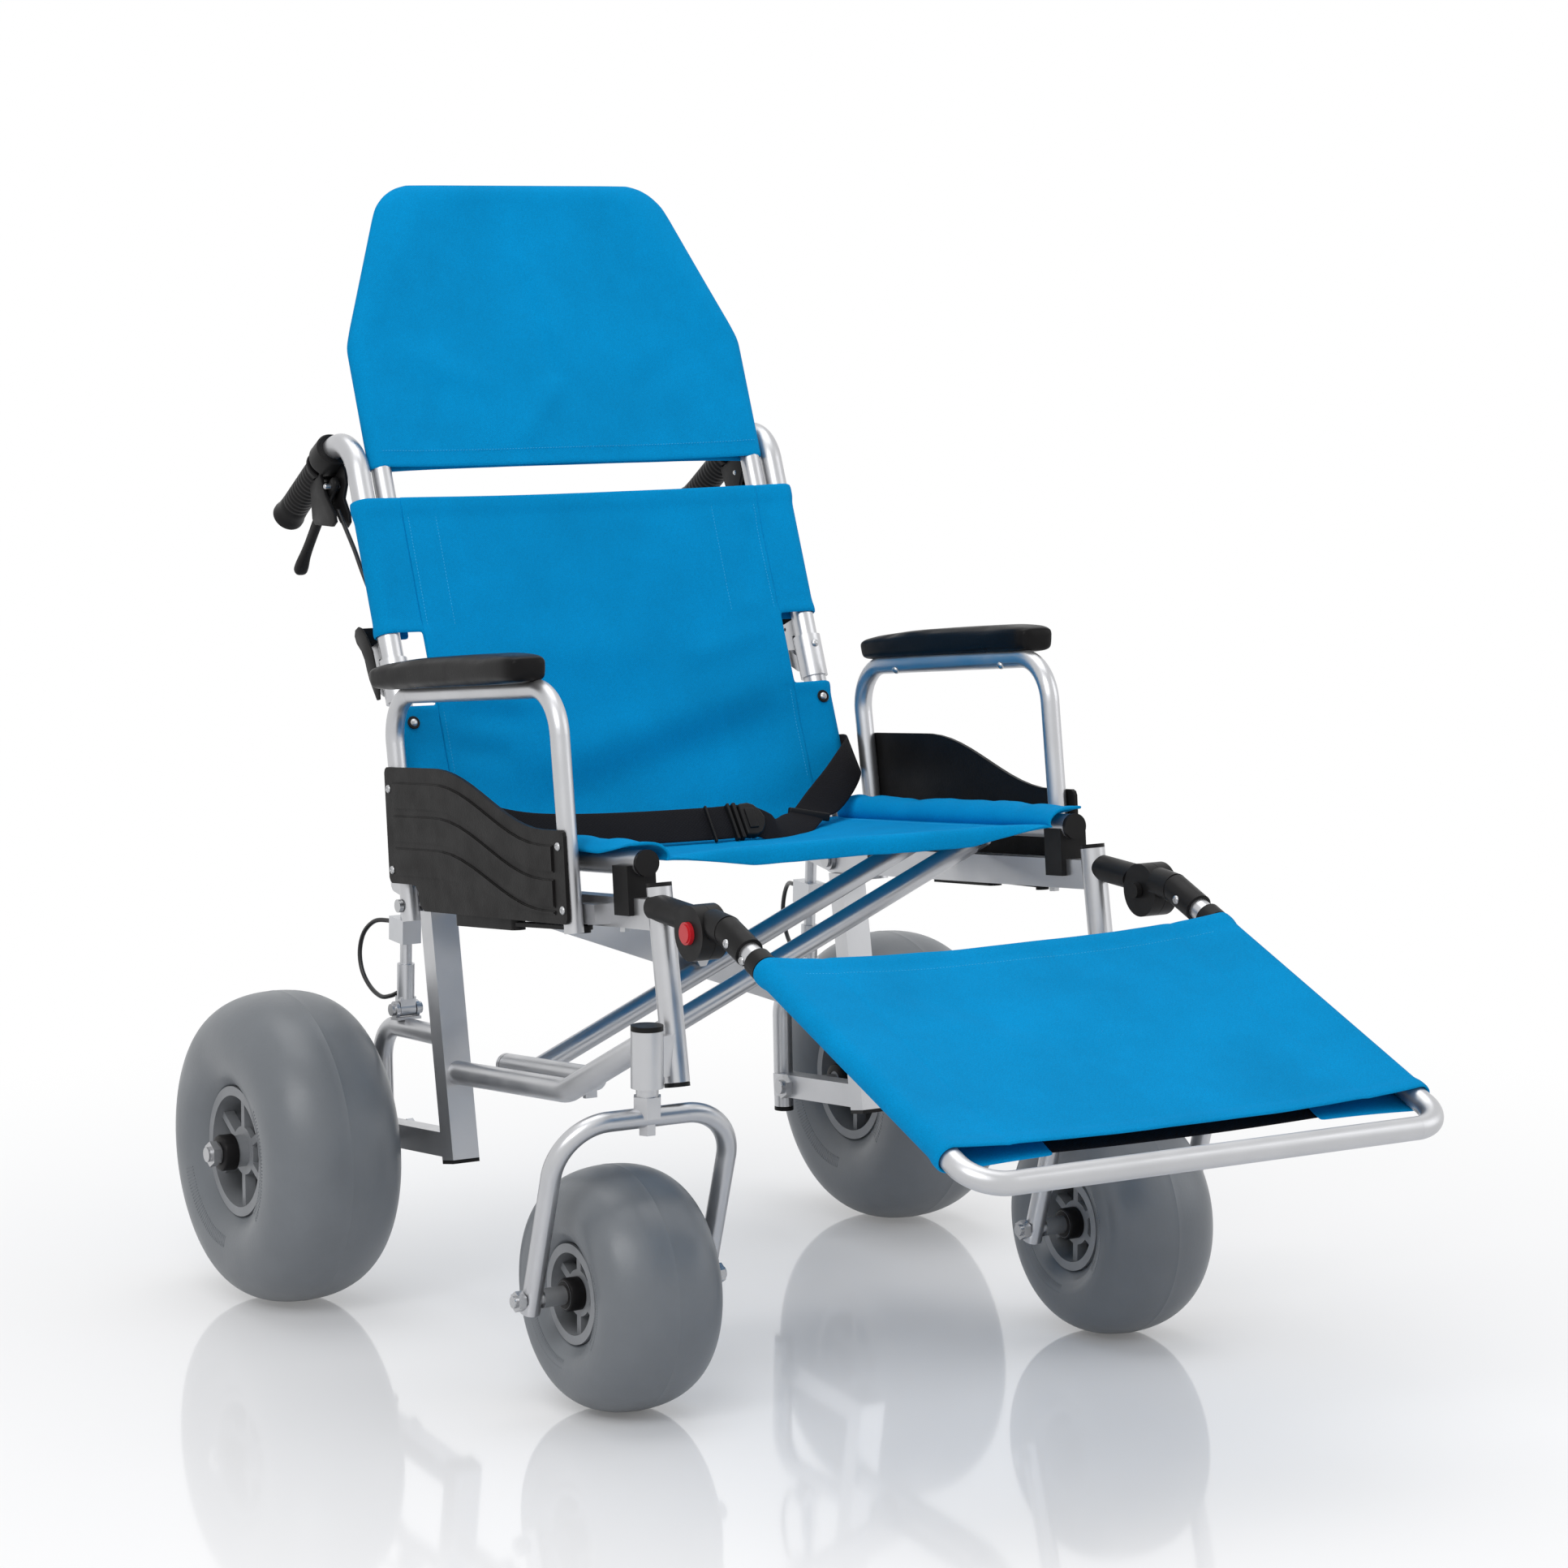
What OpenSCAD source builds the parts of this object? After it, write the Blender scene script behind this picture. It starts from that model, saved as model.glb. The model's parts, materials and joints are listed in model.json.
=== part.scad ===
// Beach wheelchair with balloon wheels, a reclining back, a head rest and a leg rest.
// Millimetres, +Z up, chair faces -Y, its left side is +X, origin on the floor under the middle.

/* [Frame] */
// Half spacing of the frame tubes
frame_x = 256; // [240:1:272]
// Backward tilt of the seat frame, in degrees
seat_tilt = 5.3; // [4.5:0.1:6]
// Height of the seat frame's datum above the floor
datum_z = 490; // [480:1:500]
// Diameter of the posts, seat tubes and canes
tube_d = 25.4; // [24:0.1:26]
// Wall of the tubes
tube_wall = 2; // [1.5:0.1:2.5]
// Height of the side rails
rail_h = 30; // [28:1:32]
// Width of the side rails
rail_w = 20; // [18:1:21]
// Front posts ahead of the datum
post_front = 137; // [130:1:145]
// Length of a front post
post_len = 190; // [186:1:194]
// Lean of posts and rear legs against the tilted frame, in degrees
post_lean = 5; // [4:0.1:6]
// Rear legs behind the datum, at the rail
leg_back = 349; // [340:1:352]
// Width of a rear leg
leg_w = 31; // [28:1:32]
// Depth of a rear leg
leg_d = 26; // [24:1:28]
// Length of a rear leg
leg_len = 267; // [262:1:270]
// Height of the lower rails below the datum
lower_drop = 201; // [196:1:206]
// Diameter of the rear loops and brace tubes
loop_d = 22.2; // [20:0.1:24]

/* [Wheels] */
// Rear tyre diameter
rear_d = 336; // [320:1:345]
// Rear tyre width
rear_w = 152; // [144:1:158]
// Rear wheel centre plane from the frame tubes
rear_out = 131; // [128:1:140]
// Rear axle behind the origin
rear_axle_y = 454; // [446:1:460]
// Front tyre diameter
front_d = 243; // [230:1:250]
// Front tyre width
front_w = 131; // [124:1:138]
// Caster axis from the frame tubes
caster_out = 38; // [36:1:42]
// Caster trail
caster_trail = 57; // [50:1:60]
// Fork tube diameter
fork_d = 20; // [18:0.5:22]
// Fork leg from the wheel's centre plane
fork_half = 97; // [95:1:102]
// Tyre wall
tyre_wall = 4; // [3:0.5:5]

/* [Back] */
// Lean of the back from upright, in degrees
back_lean = 21.8; // [20:0.1:24]
// Recline bolt behind the datum
hinge_back = 366; // [364:1:370]
// Canes ahead of the recline bolt
cane_fore = 20; // [18:1:24]
// Top of the back canvas above the bolt, along the cane
back_top = 435; // [425:1:445]
// Fold joint above the bolt, along the cane
fold_s = 240; // [236:1:246]
// Corner of the push handle above the bolt, along the cane
handle_s = 524; // [520:1:530]
// Push handle reach behind the cane
handle_reach = 195; // [188:1:200]
// Drop of the push handle from square, in degrees
handle_drop = 11.7; // [8:0.1:14]
// Head-rest tube diameter
head_d = 22.2; // [20:0.1:23]
// Top of the head rest above the bolt, along the cane
head_top = 802; // [780:1:820]
// Half width of the head rest at its top
head_top_half = 151; // [140:1:160]

/* [Leg rest] */
// Leg joint ahead of the datum
leg_joint_front = 227.6; // [224:0.1:232]
// Leg joint below the datum
leg_joint_drop = 25; // [22:0.5:28]
// Slope of the leg rest below level, in degrees
leg_drop = 21; // [18:0.5:24]
// Reach of the leg-rest bar from the joint
leg_reach = 499; // [480:1:510]
// Leg-rest tube diameter
leg_tube_d = 22.2; // [20:0.1:23]

/* [Arm rests] */
// Arm-rest tubes outside the frame tubes
arm_out = 37; // [35:1:40]
// Arm-rest tube diameter
arm_d = 20; // [18:0.5:22]
// Top tube of the arm rest above the datum
arm_top = 203; // [195:1:210]
// Arm pad length
pad_len = 313; // [300:1:325]
// Arm pad width
pad_w = 48; // [44:1:50]
// Arm pad thickness
pad_t = 26; // [22:1:30]

/* [Cloth] */
// Thickness of the canvas
canvas_t = 2.5; // [2:0.1:3]
// Sag of the seat canvas below the seat tubes' tops
seat_sag = 22; // [12:1:26]
// Lap belt width
belt_w = 46; // [40:1:50]

/* [Hidden] */
$fn = 48;

silver = [0.76, 0.77, 0.79];
zinc = [0.86, 0.87, 0.88];
black = [0.13, 0.13, 0.14];
canvas_blue = [0.02, 0.5, 0.76];
tyre_grey = [0.42, 0.44, 0.46];
hub_grey = [0.52, 0.54, 0.56];
button_red = [0.75, 0.08, 0.1];

// Clearances: pieces that touch, pins in their bores, and pieces that pass each other
seat_gap = 0.1;
pin_gap = 0.05;
run_gap = 0.5;
// Lap of straight tubes into their bends, and how much thicker the bends are
bend_lap = 1;
bend_step = 0.12;

// Seat frame places: x outwards, v backwards and w upwards in the tilted frame
rail_top = 2.5;
rail_bottom = rail_top - rail_h;
hinge_w = rail_top - rail_h / 2;
post_top = [frame_x, -post_front, rail_top + 12];
post_foot = post_top + post_len * [0, -sin(post_lean), -cos(post_lean)];
leg_head = [frame_x, leg_back, rail_bottom];
leg_foot = leg_head + leg_len * [0, -sin(post_lean), -cos(post_lean)];
seat_x = frame_x - 2.5;
seat_w = 36.5;
seat_front = -107;
seat_rear = 315;
arm_x = frame_x + arm_out;
caster_x = frame_x + caster_out;
rear_x = frame_x + rear_out;

// Places of the wheels on the floor
axle_bolt_d = 16;
rear_axle = [rear_x, rear_axle_y, rear_d / 2];
axle_v = rear_axle_y * cos(seat_tilt) - (rear_d / 2 - datum_z) * sin(seat_tilt);
axle_w = rear_axle_y * sin(seat_tilt) + (rear_d / 2 - datum_z) * cos(seat_tilt);
housing_d = 32;
housing_h = 56;
stem_d = 16;
caster_y = to_row(post_foot)[1] - 9;
housing_z = to_row(post_foot)[2];
arch_z = housing_z - 29;
front_axle = [caster_x, caster_y + caster_trail, front_d / 2];
fork_rake = atan2(caster_trail, arch_z - front_d / 2);
fork_len = norm([caster_trail, arch_z - front_d / 2]);
front_bolt_d = 12;

// Back places: v backwards and s up the cane, from the recline bolt
hinge_axis = to_row([0, hinge_back, hinge_w]);
hinge_bolt_d = 10;
cane_x = frame_x + 4.5;
head_x = cane_x - tube_d / 2 - head_d / 2 - canvas_t - 2 * run_gap;
plate_t = 4;
sleeve_d = 31;
sleeve_low = fold_s - 32;
sleeve_top = fold_s + 16;
fold_back = 6;
strut_pin = [51.6, 26.3];
strut_pin_d = 8;
grip_d = 32;
grip_start = 84;
pocket_low = fold_s + 42;
panel_top = fold_s - 40;

// Leg rest places: forwards and up from the leg joint's axis
leg_axis = to_row([0, -leg_joint_front, -leg_joint_drop]);
leg_x = frame_x + 4;
leg_lift = 23;
disc_d = 54;
disc_split = leg_x + 2;
button_d = 22;
leg_canvas_start = 115;
leg_canvas_end = leg_reach - 46;

// Strut places
strut_x = frame_x;
strut_low = [442, -140];
strut_foot = to_row([strut_x, strut_low[0], strut_low[1]]);
strut_head = back_row([strut_x, strut_pin[0], strut_pin[1]]);
strut_len = norm(strut_head - strut_foot);
strut_angle = atan2(strut_head[1] - strut_foot[1], strut_head[2] - strut_foot[2]);
strut_bore = 13;
strut_eye_play = 2.6;

// Arm rest places
arm_pivot = [341, -20];
arm_bolt_d = 8;
latch_pin = [frame_x + rail_w / 2 + 9, -14];
latch_pin_d = 8;
lug_reach = arm_out - rail_w / 2 - arm_d / 2 - 0.4;

// Routes of the cables in the back's own frame, on the left side, and of the strut's loop
upper_route = [
  [0, 32.8, handle_s - 30.1], [0, 31.5, handle_s - 46], [-4, 29, handle_s - 69], [-10, 22, handle_s - 98],
  [-15, 12, handle_s - 129], [-17, 6, fold_s + 110], [-17, 6, fold_s + 60], [-17, 6, fold_s + 22],
  [-17, 6, fold_s + 3]
];
lower_route = [
  [-17, 6, fold_s - 3], [-17, 6, fold_s - 18], [-20, 6, fold_s - 45], [-26, 6, fold_s - 80], [-27, 8, 110],
  [-27, 14, 70], [-26, 26, 46], [-23.5, 38, 35], [-21.8, 48, 28]
];
loop_route = [
  [0, 26.3, 90], [2, 42, 90], [8, 62, 86], [14, 80, 70], [17, 88, 46], [18, 80, 22], [18, 60, 4], [18, 42, -8]
];
cable_d = 5;

function to_row(p) = [
  p[0],
  p[1] * cos(seat_tilt) + p[2] * sin(seat_tilt),
  datum_z - p[1] * sin(seat_tilt) + p[2] * cos(seat_tilt)
];
function back_row(p) = [
  p[0],
  hinge_axis[1] + p[1] * cos(back_lean) + p[2] * sin(back_lean),
  hinge_axis[2] - p[1] * sin(back_lean) + p[2] * cos(back_lean)
];
function unit(v) = v / norm(v);
function basis(x, y, o) = let (z = cross(x, y)) [
  [x[0], y[0], z[0], o[0]],
  [x[1], y[1], z[1], o[1]],
  [x[2], y[2], z[2], o[2]],
  [0, 0, 0, 1]
];
function turn(pts, i) = acos(unit(pts[i] - pts[i - 1]) * unit(pts[i + 1] - pts[i]));
function setback(pts, i, r) = r * tan(turn(pts, i) / 2);
function circle_points(c, r, a0, a1, n) = [
  for (i = [0 : n]) let (a = a0 + (a1 - a0) * i / n) c + r * [cos(a), sin(a)]
];
function flip_x(pts) = [for (i = [len(pts) - 1 : -1 : 0]) [-pts[i][0], pts[i][1]]];
// A line from one side to the middle, carried on to the other side
function both_halves(h) = concat(h, [for (i = [1 : len(h) - 1]) flip_x(h)[i]]);

// Places of a side's pieces: the tilted seat frame, the back, the leg rest and the strut
module on_side(s) {
  if (s > 0) children();
  else mirror([1, 0, 0]) children();
}
module both_sides() {
  for (s = [-1, 1]) on_side(s) children();
}
module tilted() {
  translate([0, 0, datum_z]) rotate([-seat_tilt, 0, 0]) children();
}
module back_frame() {
  translate(hinge_axis) rotate([-back_lean, 0, 0]) children();
}
module leg_frame() {
  translate(leg_axis) rotate([leg_drop, 0, 0]) mirror([0, 1, 0]) children();
}
module strut_frame() {
  translate([0, strut_foot[1], strut_foot[2]]) rotate([-strut_angle, 0, 0]) children();
}
// Turns a flat drawing into the side plane: its x runs along Y, its y along Z, its depth along X
module side_plane(x) {
  translate([x, 0, 0]) rotate([90, 0, 90]) children();
}
module x_bore(p, d, x0, x1) {
  translate([x0, p[0], p[1]]) rotate([0, 90, 0]) cylinder(h = x1 - x0, d = d);
}

// Round bars and pipes along corner points with true round bends
module rod(a, b, d) {
  u = unit(b - a);
  side = abs(u[2]) < 0.9 ? unit(cross(u, [0, 0, 1])) : unit(cross(u, [1, 0, 0]));
  multmatrix(basis(side, cross(u, side), a)) cylinder(h = norm(b - a), d = d);
}
module elbow(pts, i, r, d) {
  u = unit(pts[i] - pts[i - 1]);
  w = unit(pts[i + 1] - pts[i]);
  n = unit(w - u * (u * w));
  multmatrix(basis(-n, u, pts[i] - u * setback(pts, i, r) + n * r))
    rotate_extrude(angle = turn(pts, i)) translate([r, 0]) circle(d = d);
}
module elbows(pts, r, d) {
  for (i = [1 : 1 : len(pts) - 2]) elbow(pts, i, r, d);
}
module straights(pts, r, d, out) {
  n = len(pts);
  for (i = [0 : n - 2]) {
    u = unit(pts[i + 1] - pts[i]);
    a = i == 0 ? pts[0] - u * out : pts[i] + u * (setback(pts, i, r) - bend_lap);
    b = i == n - 2 ? pts[n - 1] + u * out : pts[i + 1] - u * (setback(pts, i + 1, r) - bend_lap);
    rod(a, b, d);
  }
}
// A pipe along corner points; its bends are a hair thicker than its straights, which lap into them
module pipe(pts, r, d, wall) {
  difference() {
    union() {
      straights(pts, r, d - bend_step, 0);
      elbows(pts, r, d);
    }
    straights(pts, r, d - 2 * wall, 1);
    elbows(pts, r, d - 2 * wall - bend_step);
  }
}
module tube(a, b, d, wall) {
  u = unit(b - a);
  difference() {
    rod(a, b, d);
    rod(a - u, b + u, d - 2 * wall);
  }
}
// Flat link with round ends, in the plane of the drawing
module link(a, ra, b, rb) {
  d = norm(b - a);
  f = atan2(b[1] - a[1], b[0] - a[0]);
  t = acos((ra - rb) / d);
  translate(a) circle(r = ra);
  translate(b) circle(r = rb);
  polygon([
    a + ra * [cos(f + t), sin(f + t)], b + rb * [cos(f + t), sin(f + t)],
    b + rb * [cos(f - t), sin(f - t)], a + ra * [cos(f - t), sin(f - t)]
  ]);
}

// A cloth of even thickness over a grid of points, one list of points for each row
function grid_normal(g, j, i) = let (
    j0 = max(j - 1, 0), j1 = min(j + 1, len(g) - 1),
    i0 = max(i - 1, 0), i1 = min(i + 1, len(g[0]) - 1)
  ) unit(cross(g[j][i1] - g[j][i0], g[j1][i] - g[j0][i]));
module cloth(g, t) {
  nj = len(g);
  ni = len(g[0]);
  n = nj * ni;
  under = [for (j = [0 : nj - 1]) for (i = [0 : ni - 1]) g[j][i]];
  over = [for (j = [0 : nj - 1]) for (i = [0 : ni - 1]) g[j][i] + t * grid_normal(g, j, i)];
  skins = [for (j = [0 : nj - 2]) for (i = [0 : ni - 2])
    let (a = j * ni + i, b = a + 1, c = b + ni, e = a + ni)
      each [[a, b, c], [a, c, e], [n + a, n + c, n + b], [n + a, n + e, n + c]]];
  rim_rows = [for (i = [0 : ni - 2]) let (b = (nj - 1) * ni + i)
    each [[i, n + i + 1, i + 1], [i, n + i, n + i + 1], [b, b + 1, n + b + 1], [b, n + b + 1, n + b]]];
  rim_ends = [for (j = [0 : nj - 2]) let (a = j * ni, e = a + ni, b = a + ni - 1, f = b + ni)
    each [[a, e, n + e], [a, n + e, n + a], [b, n + f, f], [b, n + b, n + f]]];
  polyhedron(points = concat(under, over), faces = concat(skins, rim_rows, rim_ends));
}
// A cord swept along its route with a smooth curve through the points
function smooth(p, k) = let (n = len(p)) [
  for (i = [0 : n - 2]) for (j = [0 : k - 1])
    let (
      t = j / k, a = p[max(i - 1, 0)], b = p[i], c = p[i + 1], d = p[min(i + 2, n - 1)]
    ) 0.5 * (2 * b + (c - a) * t + (2 * a - 5 * b + 4 * c - d) * t * t + (3 * b - a - 3 * c + d) * t * t * t),
  p[n - 1]
];
module cord(route, d) {
  p = smooth(route, 2);
  n = len(p);
  sides = 8;
  pts = [for (i = [0 : n - 1]) let (
      u = unit(p[min(i + 1, n - 1)] - p[max(i - 1, 0)]),
      a = unit(cross(u, [1, 0.01, 0.02])), b = cross(u, a)
    ) for (k = [0 : sides - 1]) p[i] + d / 2 * (cos(k * 360 / sides) * a + sin(k * 360 / sides) * b)];
  walls = [for (i = [0 : n - 2]) for (k = [0 : sides - 1])
    let (a = i * sides + k, b = i * sides + (k + 1) % sides)
      each [[a, b + sides, b], [a, a + sides, b + sides]]];
  polyhedron(points = pts, faces = concat(walls, [[for (k = [0 : sides - 1]) k]],
    [[for (k = [sides - 1 : -1 : 0]) (n - 1) * sides + k]]));
}

// Solids that other pieces are cut to fit against
module post_core(d) {
  rod(to_row(post_top), to_row(post_foot), d);
}
module leg_core(grow) {
  tilted() translate(leg_foot) rotate([-post_lean, 0, 0])
    translate([-leg_w / 2 - grow, -leg_d / 2 - grow, -grow])
      cube([leg_w + 2 * grow, leg_d + 2 * grow, leg_len + 60]);
}
module seat_tube_core(d) {
  rod(to_row([seat_x, seat_front, seat_w]), to_row([seat_x, seat_rear, seat_w]), d);
}

module side_rails() {
  color(silver) both_sides() difference() {
    tilted() difference() {
      union() {
        translate([frame_x - rail_w / 2, -post_front, rail_bottom])
          cube([rail_w, post_front + hinge_back, rail_h]);
        x_bore([hinge_back, hinge_w], rail_h, frame_x - rail_w / 2, frame_x + rail_w / 2);
        translate([frame_x, -52, rail_bottom + 3]) cube([rail_w / 2 + lug_reach, 48, 20]);
        translate([frame_x, arm_pivot[0] - 10, arm_pivot[1] - 7])
          cube([rail_w / 2 + lug_reach, 20, 17]);
      }
      translate([frame_x - rail_w / 2 + tube_wall, -post_front - 1, rail_bottom + tube_wall])
        cube([rail_w - 2 * tube_wall, post_front + hinge_back - rail_h, rail_h - 2 * tube_wall]);
      x_bore([hinge_back, hinge_w], hinge_bolt_d + 2 * pin_gap, 0, 2 * frame_x);
      x_bore(arm_pivot, arm_bolt_d + 2 * pin_gap, frame_x, 2 * frame_x);
    }
    post_core(tube_d + 2 * seat_gap);
  }
}

module front_posts() {
  foot = to_row(post_foot);
  mid = to_row(post_foot + [0, 0, housing_h / 2]);
  reach = [caster_x - mid[0], caster_y - mid[1]];
  color(silver) both_sides() difference() {
    union() {
      post_core(tube_d);
      translate([caster_x, caster_y, housing_z]) cylinder(h = housing_h, d = housing_d);
      translate([mid[0], mid[1], housing_z + 8]) rotate([0, 0, atan2(reach[1], reach[0])])
        translate([0, -5, 0]) cube([norm(reach), 10, housing_h - 16]);
    }
    rod(foot - [0, 0, 20], to_row(post_top + [0, 0, 20]), tube_d - 2 * tube_wall);
    translate([caster_x, caster_y, housing_z - 1]) cylinder(h = housing_h + 2, d = stem_d + 2 * pin_gap);
  }
}

brace_x = frame_x - 25;
brace_w = -lower_drop + 11;
brace_rod_d = 16;
brace_front = 64;
brace_rear = 252;
module lower_rails() {
  route = [
    to_row([frame_x, leg_back - 20, -lower_drop]),
    to_row([frame_x, 74, -lower_drop]),
    to_row([frame_x, -post_front - 11, -lower_drop + 79])
  ];
  color(silver) both_sides() difference() {
    union() {
      pipe(route, 60, tube_d, tube_wall);
      tilted() for (v = [brace_front - 6, brace_rear]) translate([0, v, 0]) {
        translate([brace_x, 6, brace_w]) rotate([90, 0, 0]) cylinder(h = 6, d = 24);
        translate([brace_x, 0, -lower_drop - 8]) cube([frame_x - brace_x - tube_d / 2 + 1, 6, 18]);
      }
      rod(to_row([brace_x, brace_front - 3, brace_w]), to_row([brace_x, brace_rear + 3, brace_w]),
        brace_rod_d);
    }
    leg_core(seat_gap);
    post_core(tube_d + 2 * seat_gap);
  }
}

module rear_legs() {
  color(silver) both_sides() difference() {
    leg_core(0);
    tilted() translate([0, leg_back - 100, rail_bottom - seat_gap]) cube([2 * frame_x, 200, 200]);
    tilted() translate(leg_foot) rotate([-post_lean, 0, 0])
      translate([-leg_w / 2 + tube_wall, -leg_d / 2 + tube_wall, -1])
        cube([leg_w - 2 * tube_wall, leg_d - 2 * tube_wall, leg_len + 100]);
  }
}

loop_w = -165;
loop_back = axle_v + 30;
// Height of the loop's centre under the strut's lower pin
clevis_w = loop_w + 6 * (strut_low[0] - leg_back + 20) / (loop_back - leg_back + 12);
axle_tube_h = 26;
axle_tube_w = 25;
module rear_loops() {
  route = [
    to_row([frame_x, leg_back - 20, loop_w]),
    to_row([frame_x, loop_back - 8, loop_w + 6]),
    to_row([frame_x, loop_back, axle_w - 26])
  ];
  color(silver) both_sides() difference() {
    union() {
      pipe(route, 42, loop_d, tube_wall);
      tilted() translate([frame_x - axle_tube_w / 2, leg_back - 30, axle_w - axle_tube_h / 2])
        cube([axle_tube_w, loop_back - leg_back + 30, axle_tube_h]);
      tilted() for (s = [-1, 1]) side_plane(strut_x + s * 12 - plate_t / 2) linear_extrude(plate_t)
        link(strut_low, 9, [strut_low[0], clevis_w + 15], 5);
      tilted() translate([strut_x - 14, strut_low[0] - 9, clevis_w + loop_d / 2 - 1.5])
        cube([28, 18, strut_low[1] - 8.5 - clevis_w - loop_d / 2 + 1.5]);
    }
    leg_core(seat_gap);
    x_bore([rear_axle_y, rear_d / 2], axle_bolt_d + 2 * pin_gap, 0, 2 * frame_x);
    tilted() x_bore(strut_low, strut_pin_d + 2 * pin_gap, 0, 2 * frame_x);
  }
}

module seat_tubes() {
  color(silver) both_sides()
    tube(to_row([seat_x, seat_front, seat_w]), to_row([seat_x, seat_rear, seat_w]), tube_d, tube_wall);
}

// Place along the tilted frame of a point of the brace rods at a level depth
function brace_v(y) = (y - brace_w * sin(seat_tilt)) / cos(seat_tilt);
brace_pivot = [-42, 384];
bar_y = 196;
brace_tube_y = [62, 170];
module cross_braces() {
  sleeve = [to_row([-brace_x, brace_front + 1, brace_w]), to_row([-brace_x, brace_rear - 1, brace_w])];
  bar_low = [brace_x, to_row([0, brace_v(bar_y), brace_w])[2]];
  bar_high = [-frame_x + rail_w / 2 + seat_gap, to_row([0, bar_y, hinge_w])[2]];
  color(silver) {
    difference() {
      union() {
        rod(sleeve[0], sleeve[1], 24);
        for (y = brace_tube_y) {
          low = to_row([-brace_x, brace_v(y), brace_w]);
          high = to_row([seat_x, y * cos(seat_tilt), seat_w - 14]);
          rod(low, [high[0], low[1], high[2]], loop_d);
        }
      }
      rod(to_row([-brace_x, brace_front, brace_w]), to_row([-brace_x, brace_rear, brace_w]),
        brace_rod_d + 2 * pin_gap);
      seat_tube_core(tube_d + 2 * seat_gap);
      translate([brace_pivot[0], bar_y - 60, brace_pivot[1]]) rotate([-90, 0, 0])
        cylinder(h = 120, d = 8 + 2 * pin_gap);
    }
    difference() {
      union() {
        translate([0, bar_y + 8, 0]) rotate([90, 0, 0]) linear_extrude(16) link(bar_low, 16, bar_high, 16);
        rod(to_row([brace_x, brace_v(bar_y) - 8, brace_w]), to_row([brace_x, brace_v(bar_y) + 26, brace_w]),
          26);
      }
      rod(to_row([brace_x, brace_front, brace_w]), to_row([brace_x, brace_rear, brace_w]),
        brace_rod_d + 2 * pin_gap);
      translate([bar_high[0] - 4 * rail_w, 0, 0]) cube([4 * rail_w, 2 * bar_y, 2 * datum_z]);
      rod(to_row([frame_x, leg_back, -lower_drop]), to_row([frame_x, 0, -lower_drop]), tube_d + 1);
      translate([brace_pivot[0], bar_y - 60, brace_pivot[1]]) rotate([-90, 0, 0])
        cylinder(h = 120, d = 8 + 2 * pin_gap);
    }
  }
}

saddle_len = 30;
saddle_places = [-88, 262];
module seat_saddles() {
  color(black) both_sides() tilted() for (v = saddle_places)
    translate([0, v + saddle_len / 2, 0]) rotate([90, 0, 0]) linear_extrude(saddle_len) difference() {
      translate([frame_x - rail_w / 2 - 6, rail_top - 17]) square([rail_w + 12, seat_w - rail_top + 15]);
      translate([frame_x - rail_w / 2 - seat_gap, rail_top - 60])
        square([rail_w + 2 * seat_gap, 60 + seat_gap]);
      translate([seat_x, seat_w]) circle(d = tube_d + 2 * seat_gap);
    }
}

cap_t = 4;
module end_caps() {
  up = unit(to_row(post_top) - to_row(post_foot));
  head = to_row(post_top) + [0, 0, seat_gap];
  toe = to_row(post_foot) - [0, 0, run_gap];
  foot = to_row([frame_x, loop_back, axle_w - 26]) - [0, 0, run_gap + 0.2];
  color(black) both_sides() {
    for (e = [[seat_front, -1], [seat_rear, 1]])
      rod(to_row([seat_x, e[0] + e[1] * seat_gap, seat_w]), to_row([seat_x, e[0] + e[1] * 5, seat_w]),
        tube_d + 1);
    rod(head, head + cap_t * up, tube_d);
    rod(toe, toe - cap_t * up, tube_d);
    rod(foot, foot - [0, 0, cap_t], loop_d);
    translate([caster_x, caster_y, housing_z + housing_h + seat_gap]) cylinder(h = 5, d = housing_d);
    tilted() translate(leg_foot) rotate([-post_lean, 0, 0])
      translate([-leg_w / 2, -leg_d / 2, -cap_t - seat_gap]) cube([leg_w, leg_d, cap_t]);
  }
}

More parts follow.
